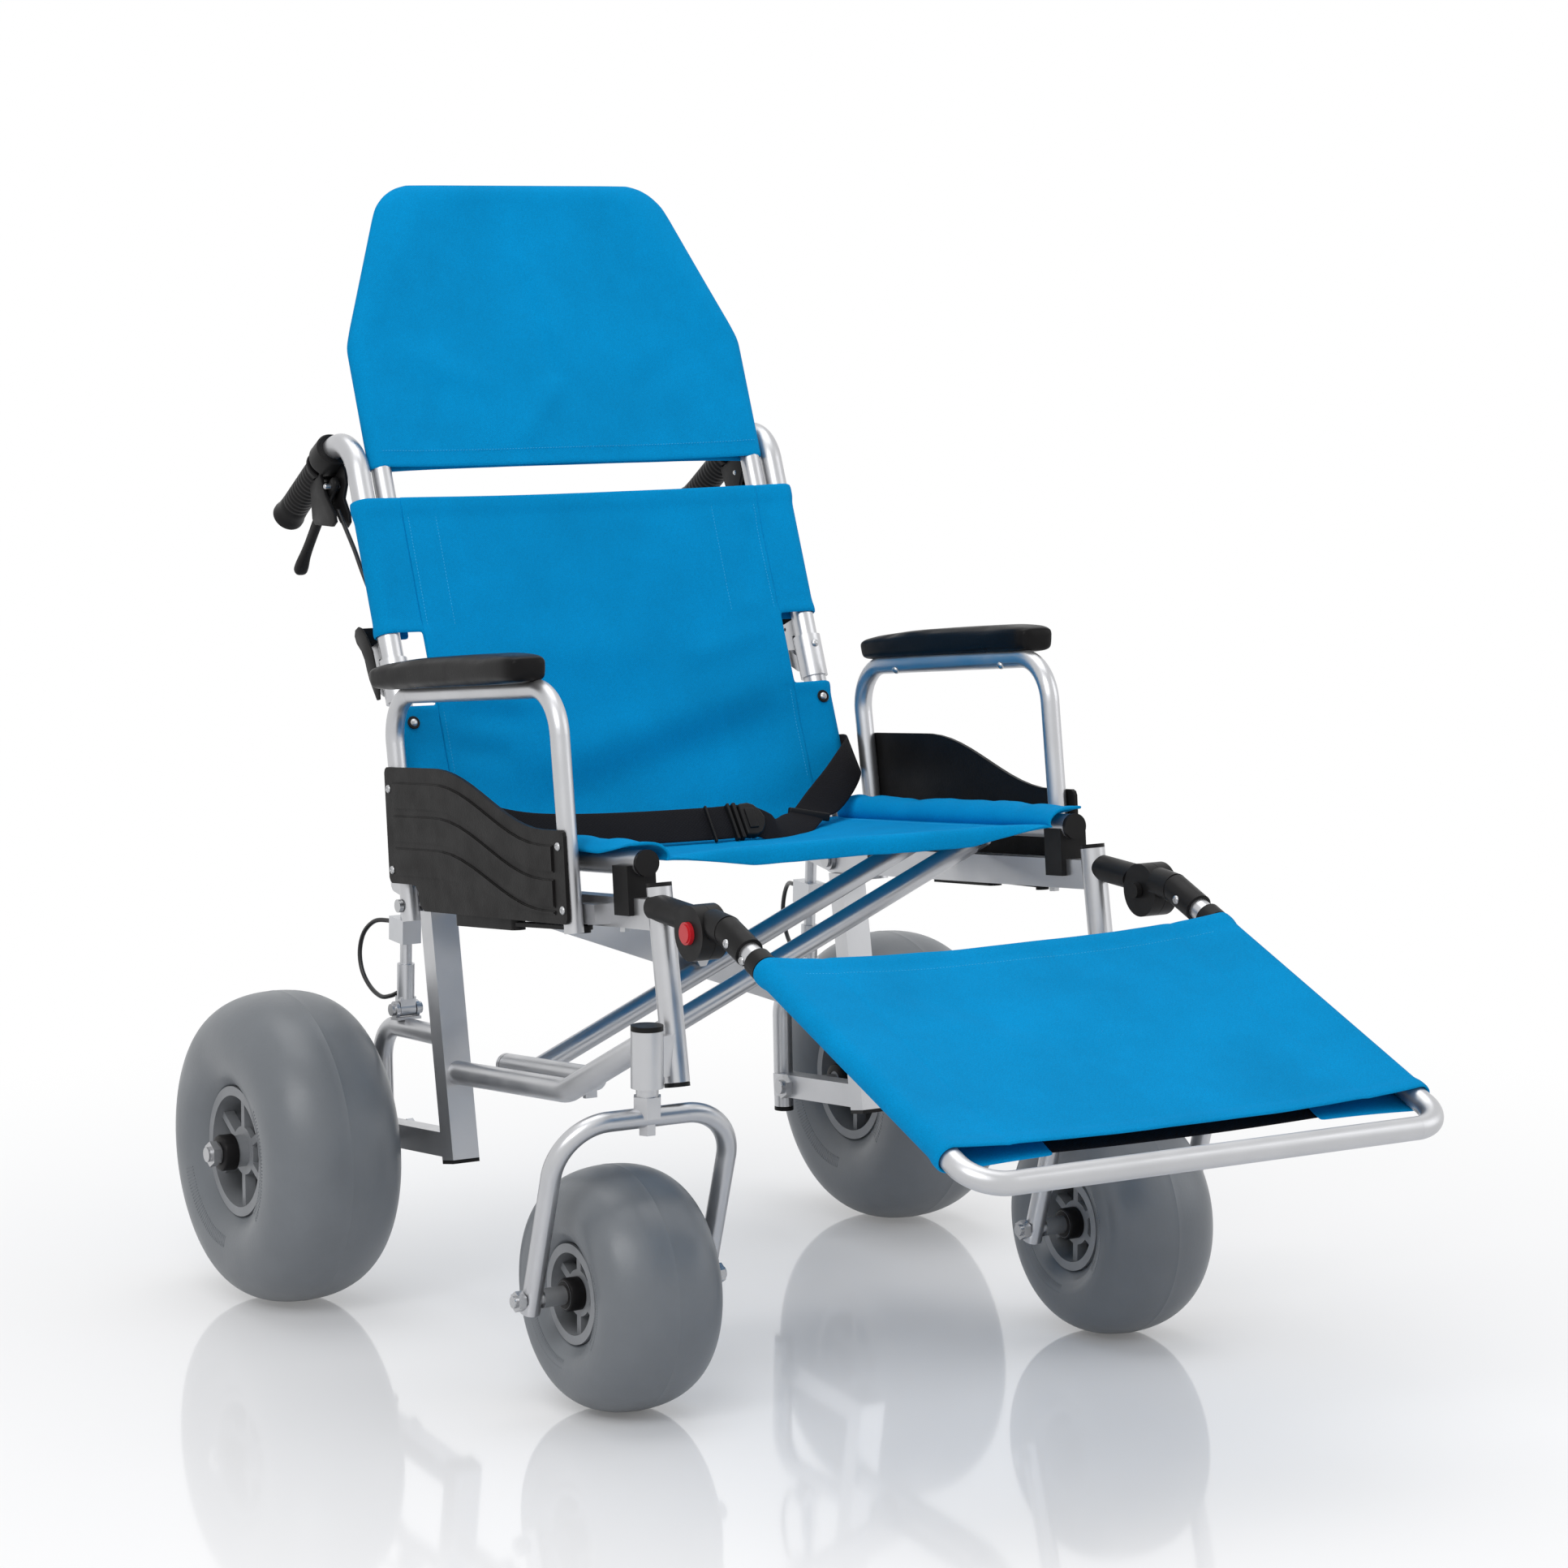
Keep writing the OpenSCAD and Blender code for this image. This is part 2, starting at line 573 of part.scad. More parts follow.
nut_t = 8;
module hex_nut(x, p, af) {
  translate([x, p[0], p[1]]) rotate([0, 90, 0]) cylinder(h = nut_t, d = af / cos(30), $fn = 6);
}
module frame_fasteners() {
  axle = [rear_axle_y, rear_d / 2];
  color(zinc) both_sides() {
    x_bore(axle, axle_bolt_d, frame_x - axle_tube_w / 2 - nut_t - 4, rear_axle_end + nut_t + 4);
    hex_nut(frame_x - axle_tube_w / 2 - nut_t - seat_gap, axle, 24);
    hex_nut(rear_axle_end, axle, 24);
    tilted() {
      x_bore([hinge_back, hinge_w], hinge_bolt_d, frame_x - 18, frame_x + 18);
      x_bore([hinge_back, hinge_w], 17, frame_x - 18, frame_x - rail_w / 2 - plate_t - 2 * run_gap);
      x_bore([hinge_back, hinge_w], 17, frame_x + rail_w / 2 + plate_t + 2 * run_gap, frame_x + 18);
      x_bore(arm_pivot, arm_bolt_d, frame_x + rail_w / 2 + 2, arm_x + arm_d / 2 + 5);
      x_bore(arm_pivot, 14, arm_x + arm_d / 2 + run_gap, arm_x + arm_d / 2 + 5);
      x_bore(strut_low, strut_pin_d, strut_x - 18, strut_x + 18);
      x_bore(strut_low, 13, strut_x - 18, strut_x - 14 - seat_gap);
      x_bore(strut_low, 13, strut_x + 14 + seat_gap, strut_x + 18);
      translate([frame_x, -64, rail_bottom - 5]) cylinder(h = 5 - seat_gap, d = 11, $fn = 6);
    }
  }
  color(zinc) translate([brace_pivot[0], 0, brace_pivot[1]]) rotate([-90, 0, 0]) {
    translate([0, 0, brace_tube_y[1] - loop_d / 2 - 5]) cylinder(h = bar_y - brace_tube_y[1] + 40, d = 8);
    translate([0, 0, brace_tube_y[1] - loop_d / 2 - 8]) cylinder(h = 6, d = 14, $fn = 6);
    translate([0, 0, bar_y + 8 + seat_gap]) cylinder(h = 6, d = 14, $fn = 6);
  }
}

// Seat sling: over each seat tube's top, then down and across in a shallow sag
function seat_half(depth) = let (
    r = tube_d / 2 + run_gap, leave = 123, c = [seat_x, seat_w],
    edge = c + r * [cos(leave), sin(leave)], low = seat_w + r - depth
  ) concat(circle_points(c, r, 62, leave, 5), [
    for (k = [1 : 8]) let (u = 1 - k / 8) [edge[0] * u, low + (edge[1] - low) * pow(u, 5)]
  ]);
function seat_row(v, depth) = [for (p = both_halves(seat_half(depth))) to_row([p[0], v, p[1]])];
seat_v0 = seat_front + 6;
seat_v1 = seat_rear - 12;
function seat_depth(v) = seat_sag * (1 - 0.25 * pow(2 * (seat_v1 - v) / (seat_v1 - seat_v0) - 1, 2));
module seat_canvas() {
  rows = 8;
  color(canvas_blue) cloth([
    for (j = [0 : rows]) let (v = seat_v1 + (seat_v0 - seat_v1) * j / rows) seat_row(v, seat_depth(v))
  ], canvas_t);
}
// Height of the seat cloth's upper face over the datum
function seat_level(x, v) = let (
    r = tube_d / 2 + run_gap, low = seat_w + r - seat_depth(v), edge = seat_w + r * sin(123),
    reach = seat_x + r * cos(123)
  ) low + (edge - low) * pow(min(abs(x) / reach, 1), 5) + canvas_t;

// Lap belt: webbing that stands on its edge on the seat, leans back and climbs at the left
belt_route = [[-224, 262], [-190, 240], [-150, 220], [-100, 202], [-50, 188], [0, 180], [50, 184], [100, 200],
  [140, 220], [172, 238]];
belt_rise = [[200, 256, 16], [220, 272, 40], [232, 284, 66], [238, 292, 92]];
belt_lean = 12;
module seat_belt() {
  line = concat(
    [for (p = belt_route) [p[0], p[1], seat_level(p[0], p[1]) + 1.8]],
    [for (p = belt_rise) [p[0], p[1], seat_level(172, 238) + p[2]]]
  );
  color(black) cloth([
    [for (p = line) to_row(p)],
    [for (p = line) to_row(p + [0, belt_lean, sqrt(pow(belt_w, 2) - pow(belt_lean, 2))])]
  ], 2);
}
module belt_buckle() {
  lean = asin(belt_lean / belt_w);
  color(black) tilted() translate([26, 169.5, seat_level(26, 170) + 1.5]) rotate([-lean, 0, 0]) {
    translate([-31, 0, 1]) cube([62, 8, belt_w - 2]);
    translate([-24, -3, 8]) cube([48, 4, belt_w - 16]);
  }
}

module leg_joint(s) {
  end = to_row(post_top)[1];
  color(black) on_side(s) difference() {
    union() {
      rod([leg_x, end, leg_axis[2] + 12], [leg_x, leg_axis[1] + 6, leg_axis[2] + 9], 27);
      x_bore([leg_axis[1], leg_axis[2]], disc_d, disc_split + 0.2, disc_split + 15);
      x_bore([leg_axis[1], leg_axis[2]], 10, disc_split - 18, disc_split + 1);
      x_bore([leg_axis[1], leg_axis[2]], 16, disc_split - 22, disc_split - 16);
    }
    difference() {
      x_bore([leg_axis[1], leg_axis[2]], disc_d + 1.5, disc_split - 40, disc_split + 0.2);
      x_bore([leg_axis[1], leg_axis[2]], 10, disc_split - 18, disc_split + 1);
      x_bore([leg_axis[1], leg_axis[2]], 16, disc_split - 22, disc_split - 16);
    }
    x_bore([leg_axis[1], leg_axis[2]], button_d + 2 * 0.3, disc_split + 6, disc_split + 40);
    post_core(tube_d + 2 * seat_gap);
  }
}
module leg_button(s) {
  color(button_red) on_side(s) {
    x_bore([leg_axis[1], leg_axis[2]], button_d, disc_split + 10.5, disc_split + 19);
    x_bore([leg_axis[1], leg_axis[2]], button_d - 4, disc_split + 19, disc_split + 20.5);
  }
}

// Balloon tyres: a superellipse section, open where the hub's rim closes it
function tyre_arc(mid, a, b, n, cut, k) = [
  for (i = [0 : k]) let (
    ang = cut + (180 - 2 * cut) * i / k, c = cos(ang), q = sin(ang)
  ) [mid + b * sign(q) * pow(abs(q), 2 / n), a * sign(c) * pow(abs(c), 2 / n)]
];
module tyre(d, w, bead_r, n, cut) {
  b = (d / 2 - bead_r) / (1 + pow(abs(sin(cut)), 2 / n));
  mid = d / 2 - b;
  k = 26;
  rotate([0, 90, 0]) rotate_extrude($fn = 96) polygon(concat(
    tyre_arc(mid, w / 2, b, n, cut, k),
    [for (i = [k : -1 : 0]) tyre_arc(mid, w / 2 - tyre_wall, b - tyre_wall, n, cut, k)[i]]
  ));
}
rear_bead = 66.5;
front_bead = 47;
rear_cut = -52;
front_cut = -48;
tyre_power = 2.3;
front_power = 2.2;
module rear_tyre(s) {
  color(tyre_grey) on_side(s) translate(rear_axle) tyre(rear_d, rear_w, rear_bead, tyre_power, rear_cut);
}
module front_tyre(s) {
  color(tyre_grey) on_side(s) translate(front_axle)
    tyre(front_d, front_w, front_bead, front_power, front_cut);
}
// Moulded hub: rim barrel, lips outside the beads, spokes at both faces and a long boss
module hub(rim_r, half, lip, boss_d, boss_half, bore_d, spokes) {
  rotate([0, 90, 0]) difference() {
    union() {
      difference() {
        union() {
          cylinder(h = 2 * half, r = rim_r, center = true);
          for (z = [-half - 3, half - 1]) translate([0, 0, z]) cylinder(h = 4, r = rim_r + lip);
        }
        cylinder(h = 2 * half + 8, r = rim_r - 6, center = true);
      }
      cylinder(h = 2 * boss_half, d = boss_d, center = true);
      cylinder(h = 6, r = rim_r - 3, center = true);
      for (m = [0, 1]) mirror([0, 0, m]) for (i = [0 : spokes - 1]) rotate([0, 0, i * 360 / spokes])
        translate([0, -4, half - 18]) cube([rim_r - 3, 8, 12]);
      for (z = [-half + 6, half - 12]) translate([0, 0, z]) cylinder(h = 6, d = boss_d + 18);
    }
    cylinder(h = 2 * boss_half + 2, d = bore_d, center = true);
  }
}
function bead_x(w, n, cut) = w / 2 * pow(cos(cut), 2 / n);
rear_hub_half = bead_x(rear_w, tyre_power, rear_cut) + 7;
front_hub_half = bead_x(front_w, front_power, front_cut) + 6;
rear_boss = 79;
front_boss = 62;
rear_axle_end = rear_x + rear_boss + 3;
module rear_hub(s) {
  color(hub_grey) on_side(s) translate(rear_axle)
    hub(rear_bead - 0.4, rear_hub_half, 4, 34, rear_boss, axle_bolt_d + 2 * pin_gap, 6);
}
module front_hub(s) {
  color(hub_grey) on_side(s) translate(front_axle)
    hub(front_bead - 0.4, front_hub_half, 3, 28, front_boss, front_bolt_d + 2 * pin_gap, 6);
}

function fork_point(x, t) = [caster_x + x, caster_y + t * sin(fork_rake), arch_z - t * cos(fork_rake)];
module caster_fork(s) {
  leg_end = fork_len + 14;
  route = [fork_point(-fork_half, leg_end), fork_point(-fork_half, 0), fork_point(fork_half, 0),
    fork_point(fork_half, leg_end)];
  color(silver) on_side(s) difference() {
    union() {
      pipe(route, 54, fork_d, tube_wall);
      translate([caster_x, caster_y, arch_z]) cylinder(h = housing_z + housing_h - arch_z - 4, d = stem_d);
      translate([caster_x, caster_y, arch_z]) cylinder(h = housing_z - arch_z - 8, d = 30, $fn = 6);
      translate([caster_x, caster_y, housing_z - 8.5]) cylinder(h = 8, d = 22);
      translate([caster_x, caster_y, arch_z - fork_d / 2 - 7]) cylinder(h = 12, d = 18, $fn = 6);
    }
    x_bore([front_axle[1], front_axle[2]], front_bolt_d + 2 * pin_gap, caster_x - 150, caster_x + 150);
  }
}
module caster_axle(s) {
  p = [front_axle[1], front_axle[2]];
  out = fork_half + fork_d / 2 + 0.3;
  color(zinc) on_side(s) {
    x_bore(p, front_bolt_d, caster_x - out - nut_t - 3, caster_x + out + nut_t + 3);
    for (k = [-1, 1]) {
      hex_nut(caster_x + k * (out + nut_t / 2) - nut_t / 2, p, 18);
      x_bore(p, 19, caster_x + min(k * (front_boss + run_gap), k * (fork_half - fork_d / 2 - 0.3)),
        caster_x + max(k * (front_boss + run_gap), k * (fork_half - fork_d / 2 - 0.3)));
    }
  }
}

plate_in = rail_w / 2 + run_gap;
module lower_canes() {
  low = 33;
  color(silver) both_sides() back_frame() difference() {
    union() {
      rod([cane_x, -cane_fore, low], [cane_x, -cane_fore, sleeve_low + 4], tube_d);
      rod([cane_x, -cane_fore, sleeve_low], [cane_x, -cane_fore, sleeve_top], sleeve_d);
      for (x = [frame_x - plate_in - plate_t, frame_x + plate_in]) side_plane(x) linear_extrude(plate_t) {
        link([0, 0], 12, [-cane_fore, low + 26], 9);
        link([0, 0], 12, strut_pin, 9);
        link([0, 0], 12, [-cane_fore, low + 12], 9);
      }
      x_bore(strut_pin, strut_pin_d, frame_x - plate_in - 1, frame_x + plate_in + 1);
      for (x = [-12.5, 8.5]) side_plane(cane_x + x) linear_extrude(plate_t)
        link([fold_back, fold_s], 8, [-cane_fore + 8, fold_s - 14], 8);
      x_bore([fold_back, fold_s], 6, cane_x - 12.5, cane_x + 12.5);
    }
    rod([cane_x, -cane_fore, low - 1], [cane_x, -cane_fore, sleeve_top + 1], tube_d - 2 * tube_wall);
    x_bore([0, 0], hinge_bolt_d + 2 * pin_gap, 0, 2 * frame_x);
  }
}

handle_dir = [0, cos(handle_drop), -sin(handle_drop)];
function handle_point(t) = [cane_x, -cane_fore, handle_s] + t * handle_dir;
module upper_canes() {
  route = [
    [cane_x, -cane_fore, sleeve_top + run_gap], [cane_x, -cane_fore, handle_s], handle_point(handle_reach)
  ];
  color(silver) both_sides() back_frame() difference() {
    union() {
      pipe(route, 45, tube_d, tube_wall);
      x_bore([fold_back, fold_s], 16, cane_x - 7.5, cane_x + 7.5);
      translate([cane_x - 7.5, fold_back - 8, fold_s]) cube([15, 16, 40]);
      translate([cane_x - 7.5, -cane_fore + tube_d / 2 - 2, sleeve_top + 6])
        cube([15, cane_fore - tube_d / 2 + fold_back, 18]);
    }
    x_bore([fold_back, fold_s], 6 + 2 * pin_gap, cane_x - 20, cane_x + 20);
    x_bore(fold_lever_pin, 4 + 2 * pin_gap, cane_x - 20, cane_x + 20);
  }
}

clamp_start = 57;
clamp_end = 73;
lever_pin = [46, handle_s - 48];
lever_pin_d = 6;
module handle_grips() {
  color(black) both_sides() back_frame() {
    difference() {
      union() {
        rod(handle_point(grip_start + 3), handle_point(handle_reach + 4), grip_d);
        rod(handle_point(grip_start), handle_point(grip_start + 4), grip_d + 5);
      }
      rod(handle_point(grip_start - 1), handle_point(handle_reach + 0.1), tube_d + 2 * seat_gap);
    }
    difference() {
      union() {
        rod(handle_point(clamp_start), handle_point(clamp_end), tube_d + 11);
        side_plane(cane_x - 9) linear_extrude(18)
          link(lever_pin, 10, [handle_point(clamp_start + 8)[1], handle_point(clamp_start + 8)[2] - 8], 8);
      }
      rod(handle_point(clamp_start - 20), handle_point(grip_start + 40), tube_d + 2 * seat_gap);
      x_bore(lever_pin, lever_pin_d + 2 * pin_gap, cane_x - 20, cane_x + 20);
      x_bore(lever_pin, 22, cane_x - 5.5, cane_x + 5.5);
      side_plane(cane_x - 5.5) linear_extrude(11) link(lever_pin, 11, lever_pin + [40, -26], 14);
    }
  }
}
module hand_lever(s) {
  color(black) on_side(s) back_frame() {
    side_plane(cane_x - 5) linear_extrude(10) {
      link(lever_pin, 8, lever_pin + [34, -18], 6);
      link(lever_pin + [34, -18], 6, lever_pin + [116, -56], 4.5);
      translate(lever_pin + [116, -56]) circle(r = 7);
    }
    x_bore(lever_pin, lever_pin_d, cane_x - 9, cane_x + 9);
  }
}

fold_lever_pin = [fold_back + 4, fold_s + 34];
module fold_lever(s) {
  color(black) on_side(s) back_frame() {
    difference() {
      side_plane(cane_x - 10) linear_extrude(20) {
        link(fold_lever_pin + [11, 22], 4.5, fold_lever_pin + [10, -18], 4);
        link(fold_lever_pin + [10, -18], 4, fold_lever_pin + [13, -32], 3);
        link(fold_lever_pin, 6, fold_lever_pin + [10, 6], 5);
      }
      side_plane(cane_x - 8) linear_extrude(16) translate([fold_back - 10, fold_s]) square([20, 60]);
    }
    x_bore(fold_lever_pin, 4, cane_x - 9, cane_x + 9);
  }
}

// Back canvas: from behind each cane round its outer side, then across the front with a slight belly
function back_half(inner) = let (
    r = tube_d / 2 + run_gap, c = [cane_x, -cane_fore]
  ) concat(
    [[inner, c[1] + r]], circle_points(c, r, 90, -90, 8),
    [for (k = [1 : 8]) let (u = 1 - k / 8) [cane_x * u, c[1] - r + (1 - pow(u, 2)) * back_belly]]
  );
function back_line(s, inner) = [for (p = both_halves(back_half(inner))) back_row([p[0], p[1], s])];
panel_inner = 214;
back_belly = 9;
module back_cloth(low, high, rows, inner) {
  cloth([for (j = [0 : rows]) back_line(high + (low - high) * j / rows, inner)], canvas_t);
}
// Side notch of the canvas, which leaves the fold joint on the cane free
module canvas_notch(low, high) {
  both_sides() back_frame() translate([panel_inner, -cane_fore - 50, low]) cube([100, 100, high - low]);
}
module lower_back_canvas() {
  color(canvas_blue) difference() {
    back_cloth(50, fold_s - 1.5, 6, cane_x - 8);
    canvas_notch(panel_top, fold_s + 20);
    canvas_notch(0, 84);
  }
}
module upper_back_canvas() {
  color(canvas_blue) difference() {
    back_cloth(fold_s + 1.5, back_top, 6, panel_inner + 6);
    canvas_notch(fold_s - 20, pocket_low);
  }
}

head_low = 300;
// Height of the head cover, and of its sloped upper part with its rounded corners
head_cover = 331;
head_slope = 193;
head_corner = 34;
head_wide = head_top - head_slope;
head_bottom = head_top - head_cover;
module headrest_tube() {
  side = head_x;
  top = head_top - canvas_t - run_gap - head_d / 2;
  inset = head_top_half - canvas_t - head_d / 2;
  route = [[-side, -cane_fore, head_low], [-side, -cane_fore, head_wide], [-inset + 8, -cane_fore, top],
    [inset - 8, -cane_fore, top], [side, -cane_fore, head_wide], [side, -cane_fore, head_low]];
  color(silver) back_frame() pipe(route, 38, head_d, tube_wall);
}
// Cover pulled over the bent bar: a flat bag, open below
module head_outline(grow) {
  side = head_x + head_d / 2 + run_gap + canvas_t + grow;
  top = head_top + grow;
  shoulder = head_top_half + 8 + grow;
  half = [
    [side, head_bottom], [side, head_wide + 4], [side - 7, head_wide + 24],
    [shoulder + 9, top - head_corner], [shoulder - 3, top - head_corner / 3], [shoulder - 22, top]
  ];
  polygon(concat(half, flip_x(half)));
}
module headrest_canvas() {
  half = head_d / 2 + run_gap;
  color(canvas_blue) back_frame() translate([0, -cane_fore, 0]) rotate([90, 0, 0]) difference() {
    translate([0, 0, -half - canvas_t]) linear_extrude(2 * (half + canvas_t)) head_outline(0);
    translate([0, 0, -half]) linear_extrude(2 * half) {
      head_outline(-canvas_t);
      translate([-head_x - head_d / 2 - run_gap, head_bottom - 1])
        square([2 * head_x + head_d + 2 * run_gap, 20]);
    }
  }
}

module strut_cylinder(s) {
  color(silver) on_side(s) strut_frame() difference() {
    union() {
      translate([strut_x, 0, 12]) cylinder(h = 38, d = 19);
      x_bore([0, 0], 16, strut_x - 9, strut_x + 9);
      translate([strut_x - 9, -7, 0]) cube([18, 14, 14]);
    }
    x_bore([0, 0], strut_pin_d + 2 * pin_gap, 0, 2 * frame_x);
    translate([strut_x, 0, 10]) cylinder(h = 41, d = strut_bore + 2 * pin_gap);
  }
}
module strut_rod(s) {
  color(silver) on_side(s) strut_frame() difference() {
    union() {
      translate([strut_x, 0, 32.5]) cylinder(h = strut_len - 41.5, d = strut_bore);
      translate([strut_x - 11, -14, 74]) cube([22, 34, 26]);
      translate([strut_x, 20, 90]) rotate([-90, 0, 0]) cylinder(h = 6, d = 10);
      x_bore([0, strut_len], 24, strut_x - 8, strut_x + 8);
    }
    x_bore([0, strut_len], strut_pin_d + 2 * strut_eye_play, 0, 2 * frame_x);
  }
}
module strut_cable(s) {
  color(black) on_side(s) strut_frame() translate([strut_x, 0, 0]) cord(loop_route, cable_d);
}
module cable_upper() {
  color(black) both_sides() back_frame() translate([cane_x, 0, 0]) cord(upper_route, cable_d);
}
module cable_lower() {
  color(black) both_sides() back_frame() translate([cane_x, 0, 0]) cord(lower_route, cable_d);
}

module leg_rest_tube() {
  route = [
    [-leg_x, 52, leg_lift], [-leg_x, leg_reach, leg_lift], [leg_x, leg_reach, leg_lift], [leg_x, 52, leg_lift]
  ];
  color(silver) leg_frame() pipe(route, 36, leg_tube_d, tube_wall);
}
module leg_rest_housings() {
  color(black) leg_frame() for (s = [-1, 1]) on_side(s) {
    difference() {
      union() {
        x_bore([0, 0], disc_d, disc_split - 14, disc_split - 0.2);
        rod([leg_x, 12, leg_lift - 8], [leg_x, 40, leg_lift], 30);
        rod([leg_x, 38, leg_lift], [leg_x, 82, leg_lift], 29);
      }
      x_bore([0, 0], 10 + 2 * pin_gap, 0, 2 * frame_x);
      x_bore([0, 0], disc_d + 1.5, disc_split - 0.2, disc_split + 60);
      x_bore([0, 0], 18, disc_split - 40, disc_split - 15.5);
      rod([leg_x, 51.9, leg_lift], [leg_x, 120, leg_lift], leg_tube_d + 2 * seat_gap);
      translate([disc_split - 60, -60, -60]) cube([46 - 0.5, 72, 120]);
    }
    difference() {
      rod([leg_x, 98, leg_lift], [leg_x, leg_canvas_start - 0.5, leg_lift], 28);
      rod([leg_x, 90, leg_lift], [leg_x, 130, leg_lift], leg_tube_d + 2 * seat_gap);
    }
  }
}
// Leg canvas: wrapped round both side tubes and sagging a little between them
function leg_half(depth) = let (
    r = leg_tube_d / 2 + run_gap, c = [leg_x, leg_lift], leave = 105, edge = c + r * [cos(leave), sin(leave)]
  ) concat([[leg_x - 40, leg_lift - r]], circle_points(c, r, -90, leave, 8), [
    for (k = [1 : 7]) let (u = 1 - k / 7) [edge[0] * u, edge[1] - depth * (1 - pow(u, 3))]
  ]);
function leg_line(p, depth) = [for (q = both_halves(leg_half(depth))) [q[0], p, q[1]]];
module leg_rest_canvas() {
  rows = 7;
  color(canvas_blue) leg_frame() cloth([
    for (j = [0 : rows]) let (t = j / rows)
      leg_line(leg_canvas_end + (leg_canvas_start - leg_canvas_end) * t, 6 + 6 * sin(180 * t))
  ], canvas_t);
}

arm_front = -27;
arm_rear = 339;
module armrest_tube(s) {
  route = [
    to_row([arm_x, arm_front, -33]), to_row([arm_x, arm_front + 12, arm_top + arm_rise]),
    to_row([arm_x, arm_rear + 22, arm_top]), to_row([arm_x, arm_rear, -37])
  ];
  color(silver) on_side(s) difference() {
    pipe(route, 48, arm_d, tube_wall);
    tilted() x_bore(arm_pivot, arm_bolt_d + 2 * pin_gap, 0, 2 * frame_x);
  }
}
pad_out = 12;
pad_front = 17;
arm_rise = 7;
module arm_pad(s) {
  slope = atan2(arm_rise, arm_rear + 10 - arm_front);
  color(black) on_side(s) tilted()
    translate([arm_x + pad_out, arm_rear + 10, arm_top + arm_d / 2 + 0.4]) rotate([-slope, 0, 0])
      translate([0, pad_front + pad_len / 2 - arm_rear - 10, 0]) hull() {
        for (x = [-1, 1]) for (y = [-1, 1])
          translate([x * (pad_w / 2 - 13), y * (pad_len / 2 - 13), 0]) {
            cylinder(h = 4, r = 11, $fn = 24);
            translate([0, 0, 8]) cylinder(h = y < 0 ? pad_t - 14 : 3, r = 13, $fn = 24);
            translate([-x * 3, -y * (y < 0 ? 3 : 50), pad_t - 2]) cylinder(h = 2, r = 11, $fn = 24);
          }
      }
}
// Skirt guard: an S-shaped top edge and raised panels that follow it
guard_front = -40;
guard_back = 358;
guard_low = -23;
guard_t = 4;
guard_x = arm_x + arm_d / 2 + seat_gap;
// Heights of the edges at the rear and at the front: the guard's top, then each panel's top and foot
guard_top = [127, 70];
guard_panels = [[[111, 55], [83, 28]], [[76, 21], [48, -7]], [[42, -10], [12, -14]]];
// Step under the guard's rear end, which leaves the arm's pivot free
guard_step = [290, 4];
panel_rise = 1;
panel_bevel = 1.2;
function guard_edge(v, ends) = let (
    t = min(max((v - 3) / 240, 0), 1)
  ) ends[1] + (ends[0] - ends[1]) * (1 - cos(180 * t)) / 2;
module guard_panel(top, foot, inset) {
  n = 16;
  v0 = guard_front + 23 + inset;
  step = (guard_back - 18 - inset - v0) / n;
  places = [for (i = [0 : n]) v0 + i * step];
  polygon(concat(
    [for (v = places) [v, guard_edge(v, top) - inset]],
    [for (i = [n : -1 : 0]) [places[i], guard_edge(places[i], foot) + inset]]
  ));
}
module guard_outline() {
  n = 20;
  corner = 6;
  step = (guard_back - guard_front - 2 * corner) / n;
  polygon(concat(
    [[guard_front, guard_low + corner], [guard_front + 2, guard_low + 2], [guard_front + corner, guard_low]],
    [[guard_step[0] - 12, guard_low], [guard_step[0] - 3, guard_low + 6], [guard_step[0], guard_step[1] - 8]],
    [[guard_step[0] + 5, guard_step[1] - 2], [guard_step[0] + 14, guard_step[1]]],
    [[guard_back - corner, guard_step[1]], [guard_back - 2, guard_step[1] + 2]],
    [[guard_back, guard_step[1] + corner], [guard_back, guard_top[0] - corner]],
    [[guard_back - 2, guard_top[0] - 2]],
    [for (i = [n : -1 : 0]) let (v = guard_front + corner + i * step) [v, guard_edge(v, guard_top)]],
    [[guard_front + 2, guard_top[1] - 2], [guard_front, guard_top[1] - corner]]
  ));
}
module skirt_guard(s) {
  color(black) on_side(s) tilted() side_plane(guard_x) {
    linear_extrude(guard_t) guard_outline();
    for (g = guard_panels) {
      translate([0, 0, guard_t - seat_gap]) linear_extrude(panel_rise + seat_gap) guard_panel(g[0], g[1], 0);
      translate([0, 0, guard_t]) linear_extrude(2 * panel_rise) guard_panel(g[0], g[1], panel_bevel);
    }
  }
}
module arm_latch(s) {
  grip = [frame_x + 33, 92];
  color(black) on_side(s) tilted() {
    translate([0, 0, rail_bottom - 4]) linear_extrude(4) link(latch_pin, 9, grip, 7);
    translate([0, 0, rail_bottom - 8]) linear_extrude(12) link(grip + [1, 8], 8, grip + [5, 118], 9);
    translate([latch_pin[0], latch_pin[1], rail_bottom - 7]) cylinder(h = 3, d = 14);
    translate([latch_pin[0], latch_pin[1], rail_bottom - 1]) cylinder(h = 3.8, d = latch_pin_d);
  }
}

side_rails();
front_posts();
lower_rails();
rear_legs();
rear_loops();
seat_tubes();
cross_braces();
seat_saddles();
end_caps();
frame_fasteners();
seat_canvas();
seat_belt();
belt_buckle();
leg_joint(-1);  // leg_joint_right
leg_joint(1);  // leg_joint_left
rear_tyre(-1);  // rear_tyre_right
rear_tyre(1);  // rear_tyre_left
rear_hub(-1);  // rear_hub_right
rear_hub(1);  // rear_hub_left
caster_fork(-1);  // caster_fork_right
caster_fork(1);  // caster_fork_left
caster_axle(-1);  // caster_axle_right
caster_axle(1);  // caster_axle_left
front_tyre(-1);  // front_tyre_right
front_tyre(1);  // front_tyre_left
front_hub(-1);  // front_hub_right
front_hub(1);  // front_hub_left
lower_canes();
lower_back_canvas();
cable_lower();
upper_canes();
